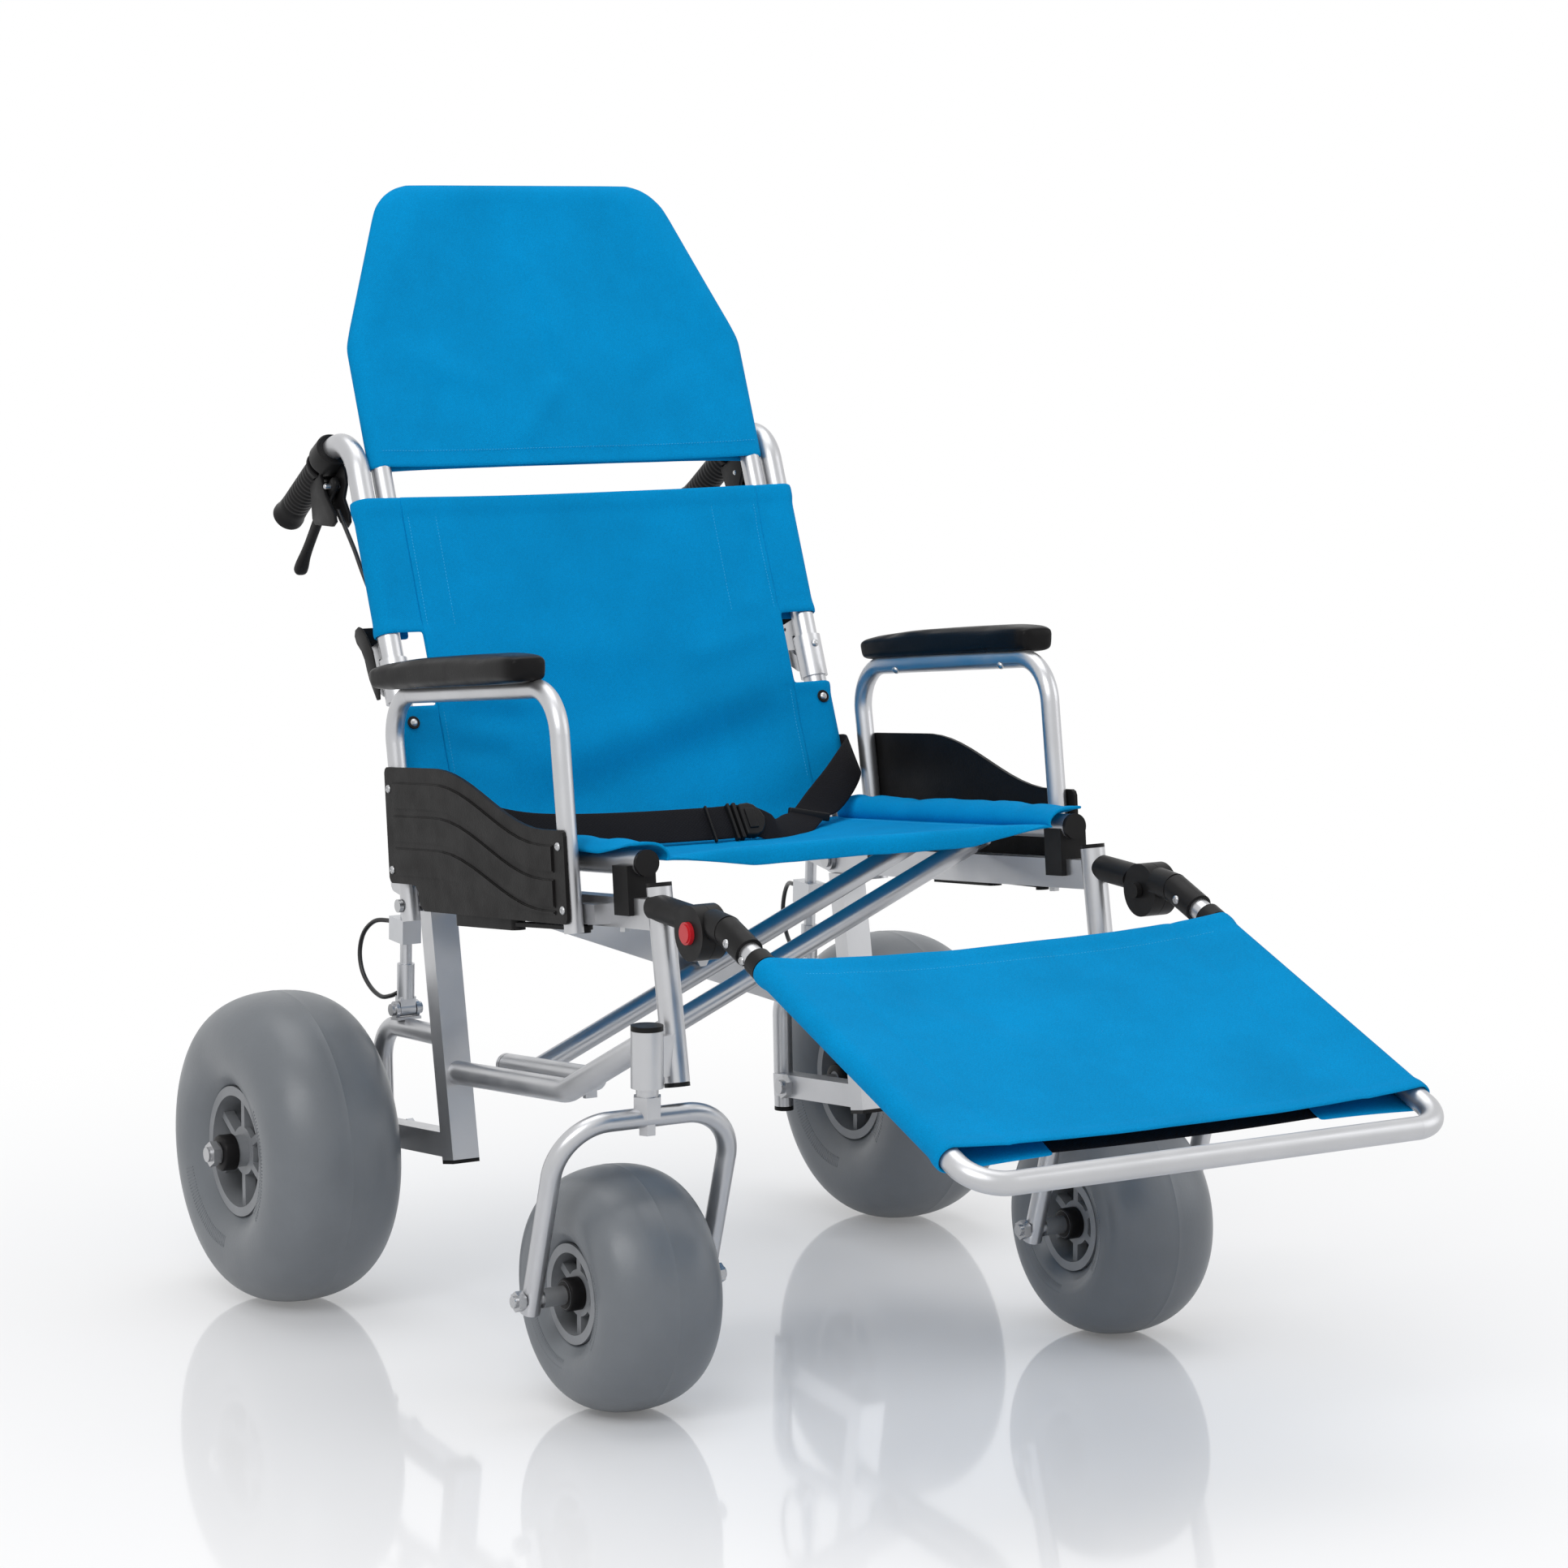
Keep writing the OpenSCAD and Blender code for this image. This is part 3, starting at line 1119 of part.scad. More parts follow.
handle_grips();
upper_back_canvas();
cable_upper();
headrest_tube();
headrest_canvas();
hand_lever(-1);  // hand_lever_right
hand_lever(1);  // hand_lever_left
fold_lever(-1);  // fold_lever_right
fold_lever(1);  // fold_lever_left
strut_cylinder(-1);  // strut_cylinder_right
strut_cylinder(1);  // strut_cylinder_left
strut_rod(-1);  // strut_rod_right
strut_rod(1);  // strut_rod_left
strut_cable(-1);  // strut_cable_right
strut_cable(1);  // strut_cable_left
leg_rest_tube();
leg_rest_housings();
leg_rest_canvas();
leg_button(-1);  // leg_button_right
leg_button(1);  // leg_button_left
armrest_tube(-1);  // armrest_tube_right
armrest_tube(1);  // armrest_tube_left
arm_pad(-1);  // arm_pad_right
arm_pad(1);  // arm_pad_left
skirt_guard(-1);  // skirt_guard_right
skirt_guard(1);  // skirt_guard_left
arm_latch(-1);  // arm_latch_right
arm_latch(1);  // arm_latch_left
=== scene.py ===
"""Beach wheelchair: canvas, webbing, tyres, pads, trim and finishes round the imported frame."""
import json
from math import cos, exp, hypot, pi, radians, sin, sqrt

import bpy
from bpy.props import FloatProperty, FloatVectorProperty, IntProperty, PointerProperty
from mathutils import Matrix, Vector, noise


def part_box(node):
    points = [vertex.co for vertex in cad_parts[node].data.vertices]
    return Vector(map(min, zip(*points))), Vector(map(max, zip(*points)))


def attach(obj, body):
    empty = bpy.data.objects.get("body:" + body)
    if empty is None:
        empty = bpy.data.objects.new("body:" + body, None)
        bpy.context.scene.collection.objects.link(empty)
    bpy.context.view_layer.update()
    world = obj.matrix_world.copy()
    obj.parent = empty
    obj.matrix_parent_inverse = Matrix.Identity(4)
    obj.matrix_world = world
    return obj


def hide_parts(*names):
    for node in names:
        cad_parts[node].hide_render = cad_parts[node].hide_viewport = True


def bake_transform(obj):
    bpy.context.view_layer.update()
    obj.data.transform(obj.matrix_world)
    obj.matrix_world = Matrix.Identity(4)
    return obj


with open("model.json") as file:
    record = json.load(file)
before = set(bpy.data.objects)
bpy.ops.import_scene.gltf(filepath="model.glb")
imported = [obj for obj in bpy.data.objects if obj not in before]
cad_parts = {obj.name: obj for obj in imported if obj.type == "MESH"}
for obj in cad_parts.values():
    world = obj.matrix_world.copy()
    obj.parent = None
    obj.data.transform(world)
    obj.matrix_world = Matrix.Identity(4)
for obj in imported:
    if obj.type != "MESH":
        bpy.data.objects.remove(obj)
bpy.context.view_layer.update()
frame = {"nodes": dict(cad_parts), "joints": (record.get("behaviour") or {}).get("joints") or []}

bl_info = {
    "name": "Beach wheelchair",
    "version": (1, 0, 0),
    "blender": (4, 5, 0),
    "location": "3D View > Sidebar > Beach chair",
    "description": "Dresses the packed beach wheelchair with canvas, webbing, tyres, pads, trim and finishes",
    "category": "Object",
}

MM = 0.001
SIDES = {"right": -1, "left": 1}
JOINTS = {row["name"]: row for row in frame["joints"]}
NODES = frame["nodes"]


def joint_at(name):
    """Place of a joint in the shared frame, in metres."""
    return Vector(JOINTS[name]["pos_m"])


def upright(name):
    """Axis of a joint, turned so that it points up."""
    axis = Vector(JOINTS[name]["axis"]).normalized()
    return axis if axis.z > 0 else -axis


SEAT_UP = upright("arm_latch_swing_left")
SEAT_BACK = Vector((0, SEAT_UP.z, -SEAT_UP.y))
CANE_UP = upright("headrest_slide")
CANE_BACK = Vector((0, CANE_UP.z, -CANE_UP.y))
HINGE = joint_at("back_recline")
LEG_JOINT = joint_at("leg_rest_tilt")
LEG_SLOPE = radians(21)
LEG_OUT = Vector((0, -cos(LEG_SLOPE), -sin(LEG_SLOPE)))
LEG_UP = Vector((0, -sin(LEG_SLOPE), cos(LEG_SLOPE)))
SEAT_DATUM = Vector((0, 0, 0.49))
ACROSS = Vector((1, 0, 0))


def seat_at(x, v, w):
    """Point on the seat frame in millimetres: x to the left, v backwards, w up."""
    return SEAT_DATUM + MM * (x * ACROSS + v * SEAT_BACK + w * SEAT_UP)


def back_at(x, b, s):
    """Point on the back in millimetres: x to the left, b backwards, s up the canes."""
    return Vector((0, HINGE.y, HINGE.z)) + MM * (x * ACROSS + b * CANE_BACK + s * CANE_UP)


def leg_at(x, p, q):
    """Point on the leg rest in millimetres: x to the left, p outwards, q up."""
    return Vector((0, LEG_JOINT.y, LEG_JOINT.z)) + MM * (x * ACROSS + p * LEG_OUT + q * LEG_UP)


class CanvasSizes(bpy.types.PropertyGroup):
    """Sizes of the canvas, the webbing and their sewing."""

    ply: FloatProperty(
        name="Ply", description="Thickness of one layer of canvas", default=0.0014, min=0.0008, max=0.003,
        unit="LENGTH")
    hem: FloatProperty(
        name="Hem", description="Thickness of a folded hem", default=0.0032, min=0.001, max=0.006, unit="LENGTH")
    stitch: FloatProperty(
        name="Stitch", description="Length from one stitch to the next", default=0.0036, min=0.002, max=0.008,
        unit="LENGTH")
    puff: FloatProperty(
        name="Sleeve puff", description="How far the seat's sleeves stand over the seat tubes", default=0.0105,
        min=0.0, max=0.014, unit="LENGTH")
    dish: FloatProperty(
        name="Head dish", description="How far the head cover dips between its tubes", default=0.007, min=0.0,
        max=0.01, unit="LENGTH")
    webbing: FloatProperty(
        name="Webbing", description="Thickness of the belt's webbing", default=0.0018, min=0.001, max=0.003,
        unit="LENGTH")


class WheelSizes(bpy.types.PropertyGroup):
    """Sizes of the balloon tyres' moulded details."""

    turns: IntProperty(
        name="Facets", description="Steps round a tyre", default=112, min=48, max=192)
    seam: FloatProperty(
        name="Mould seam", description="Height of the seam round the crown", default=0.00028, min=0.0, max=0.002,
        unit="LENGTH")
    tick: FloatProperty(
        name="Tick", description="Height of the moulded ticks on the side wall", default=0.0006, min=0.0,
        max=0.002, unit="LENGTH")
    ticks: IntProperty(
        name="Ticks", description="Number of ticks in each group", default=34, min=0, max=80)


class FinishColours(bpy.types.PropertyGroup):
    """Colours of the finishes."""

    canvas: FloatVectorProperty(
        name="Canvas", description="Colour of the canvas", subtype="COLOR", default=(0.0, 0.256, 0.57), size=3,
        min=0, max=1)
    tube: FloatVectorProperty(
        name="Tube", description="Colour of the silver tubes", subtype="COLOR", default=(0.52, 0.525, 0.54), size=3,
        min=0, max=1)
    tyre: FloatVectorProperty(
        name="Tyre", description="Colour of the tyres", subtype="COLOR", default=(0.157, 0.171, 0.187), size=3,
        min=0, max=1)
    hub: FloatVectorProperty(
        name="Hub", description="Colour of the hubs", subtype="COLOR", default=(0.24, 0.25, 0.265), size=3,
        min=0, max=1)
    plastic: FloatVectorProperty(
        name="Plastic", description="Colour of the black mouldings", subtype="COLOR",
        default=(0.0115, 0.0112, 0.0115), size=3, min=0, max=1)
    button: FloatVectorProperty(
        name="Button", description="Colour of the leg-rest buttons", subtype="COLOR", default=(0.52, 0.012, 0.02),
        size=3, min=0, max=1)


class StageSizes(bpy.types.PropertyGroup):
    """Light and camera."""

    sky: FloatProperty(
        name="Sky", description="Strength of the light from all round", default=0.5, min=0, max=2)
    key: FloatProperty(
        name="Key", description="Power of the main softbox", default=62, min=0, max=400, unit="POWER")
    glint: FloatProperty(
        name="Glint", description="Power of the small softbox that shines on the tyres", default=12, min=0, max=100,
        unit="POWER")
    fill: FloatProperty(
        name="Fill", description="Power of the fill softbox", default=26, min=0, max=400, unit="POWER")
    lens: FloatProperty(
        name="Lens", description="Focal length on a 36 mm sensor, in millimetres", default=100.1, min=20, max=200)


def fresh():
    """Leaves edit mode and clears the selection, so that an operator acts on the next piece alone."""
    if bpy.context.mode != "OBJECT":
        bpy.ops.object.mode_set(mode="OBJECT")
    bpy.ops.object.select_all(action="DESELECT")


def pick(piece):
    """Makes one piece the only one selected."""
    fresh()
    piece.select_set(True)
    bpy.context.view_layer.objects.active = piece


def named(name):
    """Names the piece that an operator has just added."""
    piece = bpy.context.object
    piece.name = name
    piece.data.name = name
    return piece


def modify(piece, kind, **values):
    """Adds a modifier, sets it and applies it."""
    pick(piece)
    change = piece.modifiers.new(kind.title(), kind)
    for key, value in values.items():
        setattr(change, key, value)
    bpy.ops.object.modifier_apply(modifier=change.name)


HARD_ANGLE = 35
SOFT_ANGLE = 60


def settle(piece, body, skin, angle=HARD_ANGLE):
    """Gives a finished piece its skin, smooth shading and body."""
    piece.data.materials.clear()
    piece.data.materials.append(skin)
    pick(piece)
    bpy.ops.object.shade_smooth_by_angle(angle=radians(angle))
    if body:
        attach(piece, body)
    return piece


def copied(piece, name, move):
    """A copy with its own mesh, moved in its mesh."""
    twin = piece.copy()
    twin.data = piece.data.copy()
    twin.name = name
    twin.data.name = name
    bpy.context.scene.collection.objects.link(twin)
    twin.data.transform(move)
    if move.determinant() < 0:
        twin.data.flip_normals()
    return twin


def joined(pieces, name):
    """Several pieces made one."""
    fresh()
    for piece in pieces:
        piece.select_set(True)
    bpy.context.view_layer.objects.active = pieces[0]
    if len(pieces) > 1:
        bpy.ops.object.join()
    return named(name)


def outward(weld=0.0):
    """Welds the points of the active piece that lie within a distance, and turns its faces outwards."""
    bpy.ops.object.mode_set(mode="EDIT")
    bpy.ops.mesh.select_all(action="SELECT")
    if weld:
        bpy.ops.mesh.remove_doubles(threshold=weld)
        bpy.ops.mesh.select_all(action="SELECT")
    bpy.ops.mesh.normals_make_consistent(inside=False)
    bpy.ops.object.mode_set(mode="OBJECT")


def meshed(name, points, faces):
    """One piece of many small closed forms, from their points and faces."""
    mesh = bpy.data.meshes.new(name)
    mesh.from_pydata(points, [], faces)
    piece = bpy.data.objects.new(name, mesh)
    bpy.context.scene.collection.objects.link(piece)
    pick(piece)
    outward()
    return piece


def in_metres(profile):
    """A profile drawn in millimetres, in metres."""
    return [(along * MM, out * MM) for along, out in profile]


def signed(value, power):
    """A power of a number's size that keeps its sign."""
    return (1 if value >= 0 else -1) * abs(value) ** power


def aim(place, normal):
    """Matrix that stands a piece made on the floor at the origin on a surface."""
    return Matrix.Translation(place) @ normal.to_track_quat("Z", "Y").to_matrix().to_4x4()


SPUN_WELD = 0.00002
SWEPT_WELD = 0.00001
HEAD_WELD = 0.0002


def spun(name, profile, centre, axis, steps=64):
    """A turned piece: a primitive circle is drawn out to the profile (along, out) and spun round the axis."""
    fresh()
    bpy.ops.mesh.primitive_circle_add(vertices=len(profile), radius=0.01)
    piece = named(name)
    piece.matrix_world = Matrix.Identity(4)
    axis = axis.normalized()
    side = axis.orthogonal().normalized()
    for vertex, (along, out) in zip(piece.data.vertices, profile):
        vertex.co = centre + axis * along + side * out
    bpy.ops.object.mode_set(mode="EDIT")
    bpy.ops.mesh.select_all(action="SELECT")
    bpy.ops.mesh.spin(steps=steps, angle=2 * pi, center=centre, axis=axis)
    bpy.ops.mesh.select_all(action="SELECT")
    bpy.ops.mesh.remove_doubles(threshold=SPUN_WELD)
    bpy.ops.mesh.delete_loose()
    bpy.ops.mesh.select_all(action="SELECT")
    bpy.ops.mesh.normals_make_consistent(inside=False)
    bpy.ops.object.mode_set(mode="OBJECT")
    return piece


def block(name, size, bevel):
    """A bevelled block round the origin, size in metres."""
    fresh()
    bpy.ops.mesh.primitive_cube_add(size=1)
    piece = named(name)
    bpy.ops.object.mode_set(mode="EDIT")
    bpy.ops.mesh.select_all(action="SELECT")
    bpy.ops.transform.resize(value=size)
    bpy.ops.mesh.bevel(offset=bevel, segments=3, affect="EDGES")
    bpy.ops.object.mode_set(mode="OBJECT")
    return piece


def facing(first, second, third, place):
    """Matrix that puts a piece made on the floor into a frame of three directions at a place."""
    turn = Matrix((first, second, third)).transposed().to_4x4()
    return Matrix.Translation(place) @ turn


def drawn(name, outline, depth, bevel, place):
    """A plate: a filled circle is drawn out to the outline in millimetres, extruded, bevelled and put in place."""
    fresh()
    bpy.ops.mesh.primitive_circle_add(vertices=len(outline), radius=0.01, fill_type="NGON")
    piece = named(name)
    piece.matrix_world = Matrix.Identity(4)
    for vertex, (a, b) in zip(piece.data.vertices, outline):
        vertex.co = (a * MM, b * MM, 0)
    bpy.ops.object.mode_set(mode="EDIT")
    bpy.ops.mesh.select_all(action="SELECT")
    bpy.ops.mesh.extrude_region_move(TRANSFORM_OT_translate={"value": (0, 0, depth * MM)})
    bpy.ops.mesh.select_all(action="SELECT")
    bpy.ops.mesh.normals_make_consistent(inside=False)
    bpy.ops.mesh.select_all(action="DESELECT")
    bpy.ops.mesh.edges_select_sharp(sharpness=radians(50))
    bpy.ops.mesh.bevel(offset=bevel * MM, segments=3, affect="EDGES", clamp_overlap=True)
    bpy.ops.object.mode_set(mode="OBJECT")
    piece.data.transform(place)
    return piece


ROUND_END = ((0.4, 0.88), (0.75, 0.6), (0.9, 0.12))


def swept(name, line, across, halves, power=2.0, steps=16, nose=1.0):
    """A bar along a line: a grid bent into rings of the given half width and half depth, with rounded ends."""
    rows = []
    last = len(line) - 1
    stations = [(0, -push, scale) for push, scale in reversed(ROUND_END)] + [(i, 0, 1) for i in range(last + 1)]
    stations += [(last, push, scale) for push, scale in ROUND_END]
    for i, push, scale in stations:
        ahead = (line[min(i + 1, last)] - line[max(i - 1, 0)]).normalized()
        side = (across - ahead * across.dot(ahead)).normalized()
        up = ahead.cross(side)
        wide, deep = halves[i * len(halves) // (last + 1)]
        middle = line[i] + ahead * push * nose * min(wide, deep) * MM
        ring = []
        for k in range(steps + 1):
            turn = 2 * pi * k / steps
            c, q = signed(cos(turn), 2 / power), signed(sin(turn), 2 / power)
            ring.append(middle + (side * c * wide + up * q * deep) * scale * MM)
        rows.append(ring)
    piece = laid_cloth(name, rows)
    bpy.ops.object.mode_set(mode="EDIT")
    bpy.ops.mesh.select_all(action="SELECT")
    bpy.ops.mesh.remove_doubles(threshold=SWEPT_WELD)
    bpy.ops.mesh.select_all(action="DESELECT")
    bpy.ops.mesh.select_mode(type="EDGE")
    bpy.ops.mesh.select_non_manifold()
    bpy.ops.mesh.fill_holes(sides=0)
    bpy.ops.mesh.select_mode(type="VERT")
    bpy.ops.object.mode_set(mode="OBJECT")
    outward()
    return piece


def smooth_line(points, steps):
    """A smooth line through the points, with the given steps from one to the next."""
    line = []
    last = len(points) - 1
    for i in range(last):
        a, b, c, d = (points[max(0, min(last, i + k))] for k in (-1, 0, 1, 2))
        for j in range(steps):
            t = j / steps
            line.append(0.5 * (2 * b + (c - a) * t + (2 * a - 5 * b + 4 * c - d) * t ** 2
                               + (3 * b - a - 3 * c + d) * t ** 3))
    line.append(points[last].copy())
    return line


def even(points, count):
    """The same line with count equal steps."""
    marks = [0.0]
    for a, b in zip(points, points[1:]):
        marks.append(marks[-1] + (b - a).length)
    spots = []
    k = 0
    for i in range(count + 1):
        want = marks[-1] * i / count
        while k < len(points) - 2 and marks[k + 1] < want:
            k += 1
        span = max(marks[k + 1] - marks[k], 1e-9)
        spots.append(points[k].lerp(points[k + 1], min(1.0, max(0.0, (want - marks[k]) / span))))
    return spots


def length_of(points):
    """Length of a line."""
    return sum((b - a).length for a, b in zip(points, points[1:]))


def laid_cloth(name, rows):
    """A cloth: a primitive grid whose points are put in place, row by row, with its map in metres."""
    fresh()
    high, wide = len(rows), len(rows[0])
    bpy.ops.mesh.primitive_grid_add(x_subdivisions=wide - 1, y_subdivisions=high - 1, size=1)
    piece = named(name)
    piece.matrix_world = Matrix.Identity(4)
    flat = [point for row in rows for point in row]
    for vertex, point in zip(piece.data.vertices, flat):
        vertex.co = point
    mid = rows[high // 2]
    size = (length_of(mid), length_of([row[wide // 2] for row in rows]))
    for spot in piece.data.uv_layers.active.data:
        spot.uv = (spot.uv[0] * size[0], spot.uv[1] * size[1])
    return piece


def cut_cells(piece, wide, dead):
    """Deletes the grid cells for which dead(row, column) holds, with the points they leave loose."""
    pick(piece)
    for part in (*piece.data.vertices, *piece.data.edges):
        part.select = False
    for face in piece.data.polygons:
        low = min(face.vertices)
        face.select = dead(low // wide, low % wide)
    bpy.ops.object.mode_set(mode="EDIT")
    bpy.ops.mesh.select_mode(type="FACE")
    bpy.ops.mesh.delete(type="FACE")
    bpy.ops.mesh.select_all(action="SELECT")
    bpy.ops.mesh.delete_loose()
    bpy.ops.mesh.select_mode(type="VERT")
    bpy.ops.object.mode_set(mode="OBJECT")


def thicken(piece, thin, thick, hem, offset=1.0):
    """Gives a cloth its thickness, with hem(vertex) from 0 to 1 where it is folded, and rounds its edges."""
    group = piece.vertex_groups.new(name="hem")
    for vertex in piece.data.vertices:
        group.add([vertex.index], max(0.001, hem(vertex.co)), "REPLACE")
    modify(piece, "SOLIDIFY", thickness=thick, offset=offset, vertex_group="hem",
           thickness_vertex_group=thin / thick, use_even_offset=False)
    piece.vertex_groups.clear()
    modify(piece, "SUBSURF", levels=1, render_levels=1)


def on_cloth(rows, j, i, lift):
    """A point on a cloth at fractional row j and column i, lifted off it, with its normal."""
    j0, i0 = min(int(j), len(rows) - 2), min(int(i), len(rows[0]) - 2)
    f, g = j - j0, i - i0
    a, b = rows[j0][i0], rows[j0][i0 + 1]
    c, d = rows[j0 + 1][i0], rows[j0 + 1][i0 + 1]
    point = a * (1 - f) * (1 - g) + b * (1 - f) * g + c * f * (1 - g) + d * f * g
    normal = ((b - a).lerp(d - c, f)).cross((c - a).lerp(d - b, g)).normalized()
    return point + normal * lift, normal


THREAD_WIDE = 0.0005
THREAD_HIGH = 0.0006
THREAD_REACH = 0.36


def stitches(name, lines, body, pitch):
    """Rows of thread: small slender stitches along lines of (point, normal)."""
    points, faces = [], []
    for line in lines:
        spots = [spot for spot, _ in line]
        count = max(2, int(length_of(spots) / pitch))
        along = even(spots, count)
        for k in range(count):
            middle = along[k].lerp(along[k + 1], 0.5)
            ahead = (along[k + 1] - along[k]).normalized()
            up = line[min(len(line) - 1, int((k + 0.5) / count * len(line)))][1]
            side = ahead.cross(up).normalized() * THREAD_WIDE
            up, ahead = up * THREAD_HIGH, ahead * THREAD_REACH * pitch
            first = len(points)
            points += [middle + way for way in (ahead, side, up, -side, -up, -ahead)]
            for m in range(4):
                a, b = first + 1 + m, first + 1 + (m + 1) % 4
                faces += [(first, a, b), (first + 5, b, a)]
    return settle(meshed(name, points, faces), body, skin_of("thread"))


def ripple(x, y, scale, seed):
    """Smooth, repeatable unevenness from -1 to 1."""
    return noise.noise(Vector((x / scale, y / scale, seed)))


def fold_line(x, s, start, end, width):
    """Height of a soft fold along a line: 1 on it, 0 away from it and past its ends."""
    run = Vector((end[0] - start[0], end[1] - start[1]))
    t = Vector((x - start[0], s - start[1])).dot(run) / run.length_squared
    off = ((x - start[0]) * run.y - (s - start[1]) * run.x) / run.length
    fade = max(0.0, 1 - (2 * t - 1) ** 4) if 0 <= t <= 1 else 0.0
    return fade * exp(-(off / width) ** 2)


def folds(table, x, s):
    """Height of a cloth's folds at a point, from rows of (height, start, end, width)."""
    return sum(height * fold_line(x, s, start, end, width) for height, start, end, width in table)


def both_halves(half_of, at):
    """A row of cloth points across the chair, from the half section that half_of(side) gives for each side."""
    left, right = ([at(p.x * side, p.y) for p in half_of(side)] for side in (1, -1))
    return left + right[-2::-1]


def shade(colour, factor):
    """A colour made lighter or darker, with its alpha."""
    return (*(min(1.0, part * factor) for part in colour), 1.0)


def plug(tree, socket, value):
    """Sets an input, or links it where the value is another node's output."""
    if isinstance(value, bpy.types.NodeSocket):
        tree.links.new(value, socket)
    else:
        socket.default_value = value


def add(tree, kind, settings=None, **sockets):
    """Adds a shader node, with its settings and its inputs set or linked."""
    made = tree.nodes.new("ShaderNode" + kind)
    for key, value in (settings or {}).items():
        setattr(made, key, value)
    for key, value in sockets.items():
        plug(tree, made.inputs[key.replace("_", " ")], value)
    return made


def reckon(tree, operation, *values):
    """Adds a Math node on the given outputs or numbers, and gives its result."""
    made = add(tree, "Math", {"operation": operation})
    for socket, value in zip(made.inputs, values):
        plug(tree, socket, value)
    return made.outputs[0]


def seen_by(tree, first, *others):
    """1 for the named kinds of ray, 0 for the rest."""
    rays = add(tree, "LightPath").outputs
    seen = rays[first]
    for kind in others:
        seen = reckon(tree, "MAXIMUM", seen, rays[kind])
    return seen


def new_skin(name, **sockets):
    """A material with one shader, whose constant inputs are set on it."""
    skin = bpy.data.materials.new(name)
    skin.use_nodes = True
    tree = skin.node_tree
    shader = tree.nodes["Principled BSDF"]
    for key, value in sockets.items():
        shader.inputs[key.replace("_", " ")].default_value = value
    where = add(tree, "TexCoord").outputs["Object"]
    return skin, tree, shader, where


def drift(tree, where, colour, spread, scale, stretch=(1, 1, 1)):
    """A colour that drifts a little from place to place."""
    spot = add(tree, "Mapping", Vector=where, Scale=stretch).outputs["Vector"]
    cloud = add(tree, "TexNoise", Vector=spot, Scale=scale, Detail=5.0, Roughness=0.62)
    ramp = add(tree, "ValToRGB", Fac=cloud.outputs["Fac"])
    low, high = ramp.color_ramp.elements
    low.position, high.position = 0.28, 0.72
    low.color, high.color = shade(colour, 1 - spread), shade(colour, 1 + spread)
    return ramp.outputs["Color"]


def patchy(tree, shader, where, scale, low, high):
    """Roughness that varies between two values."""
    cloud = add(tree, "TexNoise", Vector=where, Scale=scale, Detail=4.0)
    span = add(tree, "MapRange", Value=cloud.outputs["Fac"], From_Min=0.3, From_Max=0.7, To_Min=low, To_Max=high)
    tree.links.new(span.outputs["Result"], shader.inputs["Roughness"])


def bumped(tree, shader, height, strength, distance):
    """Relief from a height."""
    relief = add(tree, "Bump", Height=height, Strength=strength, Distance=distance)
    tree.links.new(relief.outputs["Normal"], shader.inputs["Normal"])


def silver_skin(name, colour, rough):
    """Satin silver tube: fine drawn grain, faint clouding and small scuffs."""
    skin, tree, shader, where = new_skin(name, Metallic=0.9)
    tint = drift(tree, where, colour, 0.06, 7.0)
    tree.links.new(tint, shader.inputs["Base Color"])
    patchy(tree, shader, where, 26.0, rough - 0.05, rough + 0.07)
    grain = add(tree, "TexNoise", Vector=where, Scale=1500.0, Detail=2.0)
    bumped(tree, shader, grain.outputs["Fac"], 0.12, 0.0002)
    return skin


def moulded_skin(name, colour, rough, grain_scale, strength, shine=0.5):
    """Moulded plastic or rubber with a fine pebbled grain."""
    skin, tree, shader, where = new_skin(name, Specular_IOR_Level=shine)
    tint = drift(tree, where, colour, 0.14, 16.0)
    tree.links.new(tint, shader.inputs["Base Color"])
    patchy(tree, shader, where, 40.0, rough - 0.06, rough + 0.08)
    cells = add(tree, "TexVoronoi", {"feature": "SMOOTH_F1"}, Vector=where, Scale=grain_scale)
    soft = add(tree, "TexNoise", Vector=where, Scale=grain_scale * 0.4, Detail=3.0)
    height = reckon(tree, "ADD", cells.outputs["Distance"], soft.outputs["Fac"])
    bumped(tree, shader, height, strength, 0.0003)
    return skin


def tyre_skin(name, colour):
    """Balloon tyre: smooth satin vinyl with faint blotches and dust."""
    skin, tree, shader, where = new_skin(name)
    tint = drift(tree, where, colour, 0.07, 11.0)
    tree.links.new(tint, shader.inputs["Base Color"])
    patchy(tree, shader, where, 18.0, 0.3, 0.42)
    orange = add(tree, "TexNoise", Vector=where, Scale=300.0, Detail=4.0)
    bumped(tree, shader, orange.outputs["Fac"], 0.26, 0.0005)
    return skin


